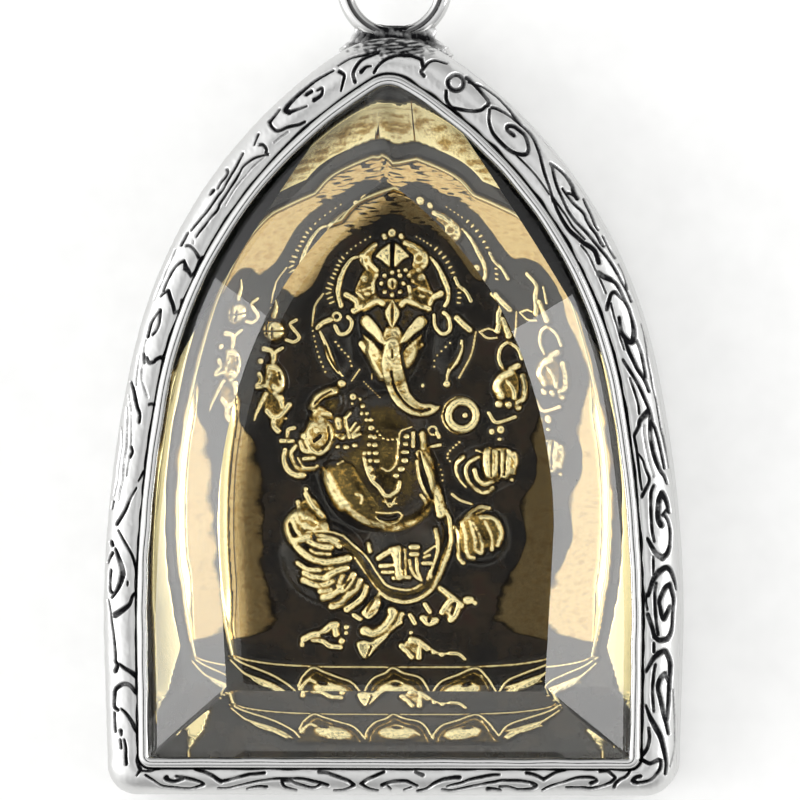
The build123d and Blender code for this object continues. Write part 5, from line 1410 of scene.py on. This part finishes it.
def panel_outline():
    """The thin line's closed path: up the left side, over the cusped arch, down the right."""
    heights, halves = np.array(PANEL_HALVES, float).T
    half = np.column_stack([halves, heights])
    lobe, side = smooth(half[:PANEL_CUSP + 1]), smooth(half[PANEL_CUSP:])
    right = np.vstack([lobe[:-1], side])
    right = right + (PLATE_CHART_X, 0)
    left = right[::-1] * (-1, 1) + (2 * PLATE_CHART_X, 0)
    return np.vstack([left, right[1:]])


REACH = np.array([  # height, how far bare brass runs in from the line at the left, at the right
    (180, 130, 130), (255, 110, 120), (285, 60, 66), (312, 14, 20), (395, 5, 8), (412, 30, 28),
    (480, 38, 48), (540, 46, 58), (620, 46, 68), (632, 34, 44), (645, -10, -10),
], float)
BAND_EDGE = 31  # from the plate's outline to the border band
BAND_FOOT = (590, 640, 690, 712), (0, 176, 192, 206)  # heights, least distance from the middle
LINE_HALF, LINE_RISE, SLOPE_RISE, BAND_RISE = 3.2, 8.0, 6.0, 7.0
PLATE_RIM = bezel_arch.loop(bezel_arch.stations(0.4), GIRDLE_INSET)[:, :2] / CHART_UNIT
PLATE_RIM = PLATE_RIM * (1, -1) + (PLATE_CHART_X, PLATE_CHART_Y)
BURIED = -0.5  # bare where patina covers the floor whole; 0.5 is the ragged edge's middle


def border_height(x, y, edge, within):
    """Rise of the panel's thin line, the slope inside it and the border band, in chart units.

    The line is a half round. The slope falls from it over a width that grows with the depth of
    the sides. The band is flat, between a groove at the line and the plate's rim, and ends ragged
    at the foot.
    """
    above_floor = y < FLOOR_LINE - 4
    line = LINE_RISE * round_top(np.minimum(edge / LINE_HALF, 1)) * above_floor
    slope_width = 5 + 12 * ease(380, 430, y) * (1 - ease(575, 655, y))
    slope = SLOPE_RISE * (1 - ease(1.0, slope_width, edge)) * within * above_floor
    inner = 17 - 4 * ease(200, 330, y)
    outer = BAND_EDGE + 14 * (1 - ease(75, 150, y))
    rim_gap, _ = away(x, y, PLATE_RIM)
    band = BAND_RISE * ease(inner - 1, inner + 1, edge) * ease(outer - 1, outer + 1, rim_gap) * ~within
    band *= np.abs(x - PLATE_CHART_X) > np.interp(y, *BAND_FOOT)
    band *= 1 - 0.6 * ease(0.2, 0.9, ripple(x, y, 7.0, 23)) * ease(690, 700, y)
    return np.maximum.reduce([line, slope, band])


def figure_fields(x, y):
    """The figure's soft masses, and the limbs, folds and jewels that stand on them."""
    body = Field(x, y)
    for *place, rise, wear_and_painted_light in BODY.values():
        body.dome(*place, rise / CHART_UNIT, wear_and_painted_light)
    detail = Field(x, y)
    for stamp, rows in (
        (detail.stroke, BANDS), (detail.pillow, PILLOWS), (detail.stroke, sum(STROKES.values(), [])),
        (detail.dome, DOMES), (detail.ring, RINGS), (detail.beads, BEADS),
    ):
        for row in rows:
            stamp(*row)
    centre_x, centre_y, radius, half, count = CLUSTER
    for turn in np.arange(count) * 2 * pi / count:
        detail.dome(centre_x + radius * cos(turn), centre_y + radius * sin(turn), half, half, 0, half)
    return body, detail


def lotus_row(x, y):
    """The pedestal's petals: pillows edged by two lines, each with a leaf and the leaf's hollow."""
    lotus = Field(x, y)
    share, drop = PETAL_INNER
    for points, leaf, hollow in PETALS:
        foot = [(points[-1][0], PETAL_FOOT + 6), (points[0][0], PETAL_FOOT + 6)]
        lotus.pillow(5, 2.4, 0.30, points + foot)
        lotus.stroke(2.4, 2.4, points, 1.8)
        middle = (points[0][0] + points[-1][0]) / 2
        lotus.stroke(1.3, 1.3, [(middle + share * (a - middle), b + drop) for a, b in points], 1.6, 0.8)
        lotus.dome(*leaf, 6.0, 1.25)
        dent = Field(x, y)
        dent.dome(*hollow, 3.0)
        lotus.height = np.maximum(lotus.height - dent.height, 0)
        lotus.shine *= 1 - 0.8 * dent.shine
    for outer, inner in HALF_PETALS:
        lotus.stroke(2.4, 2.4, outer, 1.6)
        lotus.stroke(2.0, 3.4, inner, 1.2)
    shown = 1 - ease(PETAL_FOOT - 3, PETAL_FOOT, y)
    lotus.height *= shown
    lotus.shine *= shown
    return lotus


def bare_brass(x, y, edge, figure):
    """How bare the floor is: most along the sides, by REACH, less near the figure, hatched on top."""
    side = np.where(x < PLATE_CHART_X, *(np.interp(y, REACH[:, 0], REACH[:, k]) for k in (1, 2)))
    bare = np.clip(0.5 + (side - edge) / 20, BURIED, 1.2) - 1.4 * ease(0.0, 0.06, figure)
    hatched = (1 - ease(20, 85, abs(x - PLATE_CHART_X))) * (1 - ease(228, 256, y))
    return bare - 0.9 * hatched * ease(-0.3, 0.6, ripple(0.45 * x, 2.4 * y, 9.0, 26))


def relief_fields(x, y):
    """Height in millimetres above the plate, how worn it is (with painted highlights and painted light in
    that), and bare brass at plate chart places.

    The height is the masses, smoothed, with the details laid on and the cuts taken off. What
    stands proud is worn, unevenly, and the top of the border less than the rest.
    """
    outline = panel_outline()
    edge, _ = away(x, y, outline)
    within = inside(x, y, outline)
    border = border_height(x, y, edge, within)
    body, detail = figure_fields(x, y)
    lotus = lotus_row(x, y)
    cuts = Field(x, y)
    for half, depth, points in CUTS:
        cuts.stroke(half, half, points, rise=depth / half)

    lifted = np.maximum(detail.height, lotus.height)
    height = np.maximum(blur(body.height, 2, 1) + lifted - cuts.height, 0)
    height = np.maximum(height, border) * CHART_UNIT
    wear_and_painted_light = np.maximum.reduce([body.shine, detail.shine, lotus.shine]) * (1 - 0.85 * cuts.shine)
    wear_and_painted_light *= np.clip(0.9 + 0.13 * ripple(x, y, 13.0, 21) + 0.10 * ripple(x, y, 5.0, 22), 0.45, 1.1)
    height += 0.3 * CHART_UNIT * ripple(x, y, 6.5, 24) * ease(0.3, 0.8, wear_and_painted_light) * ease(0.05, 0.15, height)
    tarnish = (0.20 + 0.22 * ease(-0.4, 0.8, ripple(0.6 * x, 1.6 * y, 16.0, 25))) * (1 - ease(200, 280, y))
    wear_and_painted_light = np.maximum(wear_and_painted_light, ease(0.5, 3.0, border) * (1 - tarnish))
    figure = blur(((body.height > 0.5) | (detail.height > 0.3)).astype(float), 3, 7)
    floor = within & (height < 0.06)
    bare = np.where(floor, np.maximum(bare_brass(x, y, edge, figure), BURIED), BURIED)
    return height, wear_and_painted_light, bare


RELIEF_LOW, RELIEF_HIGH = -19.2, 9.2  # the plate is gridded finely between these heights
RELIEF_FINE = 0.76  # and over this share of its half width
RELIEF_PARTS = 3


def cast_relief(sizes, colours):
    """The relief plate: heights over a grid that narrows with the plate, in three blocks.

    Creases keep their patina, and the slopes that face the upper left are made brighter: painted light from
    the upper left.
    """
    pitch = sizes.relief_pitch / MM
    widest = bezel_arch.half_width - GIRDLE_INSET
    fine = np.arange(0, RELIEF_FINE, pitch / widest)
    half = np.concatenate([fine, np.linspace(fine[-1], 1, 26)[1:]])
    columns = np.concatenate([-half[:0:-1], half])
    low = bezel_arch.foot + GIRDLE_INSET
    high = SPRINGING + BEZEL_RISE - GIRDLE_INSET
    rows = np.concatenate([
        np.linspace(low, RELIEF_LOW, 14)[:-1], np.arange(RELIEF_LOW, RELIEF_HIGH, pitch * 0.9),
        np.linspace(RELIEF_HIGH, high - 0.02, 40),
    ])
    grid_x = bezel_arch.half_width_at(rows, GIRDLE_INSET)[:, None] * columns[None, :]
    grid_y = rows[:, None] + 0 * grid_x
    chart_x = grid_x / CHART_UNIT + PLATE_CHART_X
    chart_y = PLATE_CHART_Y - grid_y / CHART_UNIT
    height, wear_and_painted_light, bare = relief_fields(chart_x, chart_y)
    ceiling = STONE_LOW[2] - PLATE_TOP - 0.04
    height = np.minimum(height, ceiling)
    grid = np.dstack([grid_x, grid_y, PLATE_TOP + height])
    normals = -grid_normals(grid)
    creases = np.clip((height - blur(height, 2, 3)) / 0.10, -1, 1)
    # Painted light: slopes that face the upper left get brighter, as if light fell from there.
    painted_upper_left_light = normals[..., 1] - normals[..., 0]
    wear_and_painted_light = np.clip(wear_and_painted_light + (0.38 * creases + 0.16 * painted_upper_left_light) * ease(0.1, 0.5, wear_and_painted_light), 0, 1)
    bounds = [round((len(rows) - 1) * k / RELIEF_PARTS) for k in range(RELIEF_PARTS + 1)]
    cast_blocks(
        "relief_part", grid, [slice(a, b + 1) for a, b in zip(bounds, bounds[1:])], PLATE_LOW[2], normals,
        {"wear_and_painted_light": (wear_and_painted_light, 0), "bare": (bare, BURIED)}, antiqued_brass(colours),
        "relief_plate",
    )


# Stage

def soft_box(name, place, aim, width, height, power):
    """A rectangular lamp aimed at a spot, all in metres and watts."""
    lamp = bpy.data.lights.new(name, "AREA")
    lamp.shape = "RECTANGLE"
    lamp.size, lamp.size_y, lamp.energy = width, height, power
    holder = bpy.data.objects.new(name, lamp)
    holder.location = place
    holder.rotation_euler = (aim - place).to_track_quat("-Z", "Y").to_euler()
    bpy.context.scene.collection.objects.link(holder)


DOME_GLOW = [(8, 0.03), (12.5, 0.95), (17, 1.15), (36, 1.15)]  # degrees from straight above, radiance
SIDE_GLOW = (1.65, 0.68)  # how much the dome is brightened low at the left, and at the right
END_GLOW = 0.30  # share of that low beyond the ring and the foot
SOFT_BOXES = [  # name, side, height over the floor as an angle, watts
    ("left_box", -1, radians(15), 0.40), ("right_box", 1, radians(22), 0.52),
]
SOFT_BOX_SIZE = (0.25, 0.14)
SOFT_BOX_REACH = 0.36  # from the pendant
SOFT_BOX_TURN = radians(6)  # from the pendant's sides towards the ring
FLOOR_HALF = 0.6


def studio_dome():
    """White surroundings with a dark patch overhead, brighter low at the left than at the right."""
    world = bpy.data.worlds.new("studio_dome")
    bpy.context.scene.world = world
    world.use_nodes = True
    tree = world.node_tree
    tree.nodes.clear()
    direction = add_node(tree, "ShaderNodeTexCoord").outputs["Generated"]
    across = add_node(tree, "ShaderNodeSeparateXYZ", {"Vector": direction}).outputs
    angle = add_node(tree, MATH, (across["Z"],), operation="ARCCOSINE")
    tilt = add_node(tree, MAP, (angle, 0, pi / 2))
    glows = [(degrees / 90, (glow, glow, glow, 1)) for degrees, glow in DOME_GLOW]
    shade = add_node(tree, RAMP, (tilt,), glows)
    endways = add_node(tree, MATH, (across["Y"],), operation="ABSOLUTE")
    ends = add_node(tree, MAP, (endways, 0.3, 0.95, 1.0, END_GLOW))
    sideways = add_node(tree, MAP, (across["X"], -1, 1, *SIDE_GLOW))
    low = add_node(tree, MATH, (sideways, ends), operation="MULTIPLY")
    strength = add_node(tree, MAP, (angle, radians(25), radians(38), 1.0, low))
    background = add_node(tree, "ShaderNodeBackground", {"Color": shade, "Strength": strength})
    add_node(tree, "ShaderNodeOutputWorld", {"Surface": background})


def lay_stage(colours):
    """Paper floor, dome, two soft boxes low at the sides, and the camera."""
    corners = [(x * FLOOR_HALF, y * FLOOR_HALF, 0) for x, y in ((-1, -1), (1, -1), (1, 1), (-1, 1))]
    mesh = bpy.data.meshes.new("paper_floor")
    mesh.from_pydata(corners, [], [(0, 1, 2, 3)])
    mesh.materials.append(studio_paper(colours))
    floor = bpy.data.objects.new("paper_floor", mesh)
    bpy.context.scene.collection.objects.link(floor)

    toward = Vector((sin(VIEW_ANGLE), 0, cos(VIEW_ANGLE)))
    studio_dome()
    middle = Vector((0, SPRINGING * 0.3 * MM, 6 * MM))
    for name, side, rise, power in SOFT_BOXES:
        turn = SOFT_BOX_TURN
        toward_box = Vector((side * cos(rise) * cos(turn), cos(rise) * sin(turn), sin(rise)))
        soft_box(name, toward_box * SOFT_BOX_REACH + middle, middle, *SOFT_BOX_SIZE, power)

    lens = bpy.data.cameras.new("camera")
    lens.sensor_width = SENSOR
    lens.lens = SENSOR * VIEW_DISTANCE / FRAME_WIDTH
    lens.clip_start = 0.01
    camera = bpy.data.objects.new("camera", lens)
    camera.location = (Vector(VIEW_AIM) + toward * VIEW_DISTANCE) * MM
    camera.rotation_euler = (0, VIEW_ANGLE, 0)
    bpy.context.scene.collection.objects.link(camera)
    bpy.context.scene.camera = camera
    bpy.context.scene.view_settings.view_transform = "Standard"


class AMULET_OT_lay_stage(bpy.types.Operator):
    """Lay the paper floor, hang the soft boxes and set the camera"""

    bl_idname = "amulet.lay_stage"
    bl_label = "Lay Stage"

    def execute(self, context):
        lay_stage(context.scene.amulet_colours)
        return {"FINISHED"}


class AMULET_OT_engrave_case(bpy.types.Operator):
    """Engrave the silver rim over the plain back"""

    bl_idname = "amulet.engrave_case"
    bl_label = "Engrave Case"

    def execute(self, context):
        engraved_case(context.scene.amulet_sizes, context.scene.amulet_colours)
        return {"FINISHED"}


class AMULET_OT_solder_ring(bpy.types.Operator):
    """Solder the hanging ring to the case's point"""

    bl_idname = "amulet.solder_ring"
    bl_label = "Solder Ring"

    def execute(self, context):
        hanging_ring(context.scene.amulet_colours)
        solder_saddle(context.scene.amulet_colours)
        return {"FINISHED"}


class AMULET_OT_rub_bezel(bpy.types.Operator):
    """Rub the bezel strip over the stone"""

    bl_idname = "amulet.rub_bezel"
    bl_label = "Rub Bezel"

    def execute(self, context):
        bezel_strip(context.scene.amulet_sizes, context.scene.amulet_colours)
        return {"FINISHED"}


class AMULET_OT_cut_stone(bpy.types.Operator):
    """Cut the clear stone"""

    bl_idname = "amulet.cut_stone"
    bl_label = "Cut Stone"

    def execute(self, context):
        cut_stone()
        return {"FINISHED"}


class AMULET_OT_cast_relief(bpy.types.Operator):
    """Cast the brass relief of the dancing Ganesha"""

    bl_idname = "amulet.cast_relief"
    bl_label = "Cast Relief"

    def execute(self, context):
        cast_relief(context.scene.amulet_sizes, context.scene.amulet_colours)
        return {"FINISHED"}


OPERATORS = [
    AMULET_OT_lay_stage, AMULET_OT_cast_relief, AMULET_OT_engrave_case, AMULET_OT_solder_ring,
    AMULET_OT_rub_bezel, AMULET_OT_cut_stone,
]


class AMULET_PT_panel(bpy.types.Panel):
    """The amulet's sizes, colours and steps in the sidebar"""

    bl_label = "Amulet"
    bl_space_type = "VIEW_3D"
    bl_region_type = "UI"
    bl_category = "Amulet"

    def draw(self, context):
        for group in (context.scene.amulet_sizes, context.scene.amulet_colours):
            for name in group.__annotations__:
                self.layout.prop(group, name)
        for operator in OPERATORS:
            self.layout.operator(operator.bl_idname)


CLASSES = [AmuletSizes, AmuletColours, *OPERATORS, AMULET_PT_panel]


def register():
    """Register the classes and hang the settings on the scene."""
    for kind in CLASSES:
        bpy.utils.register_class(kind)
    bpy.types.Scene.amulet_sizes = PointerProperty(type=AmuletSizes)
    bpy.types.Scene.amulet_colours = PointerProperty(type=AmuletColours)


def unregister():
    """Take the settings and the classes away."""
    del bpy.types.Scene.amulet_sizes
    del bpy.types.Scene.amulet_colours
    for kind in reversed(CLASSES):
        bpy.utils.unregister_class(kind)


def main():
    """Make the whole pendant."""
    register()
    bpy.ops.amulet.lay_stage()
    bpy.ops.amulet.cast_relief()
    bpy.ops.amulet.engrave_case()
    bpy.ops.amulet.solder_ring()
    bpy.ops.amulet.rub_bezel()
    bpy.ops.amulet.cut_stone()


if __name__ == "__main__":
    main()
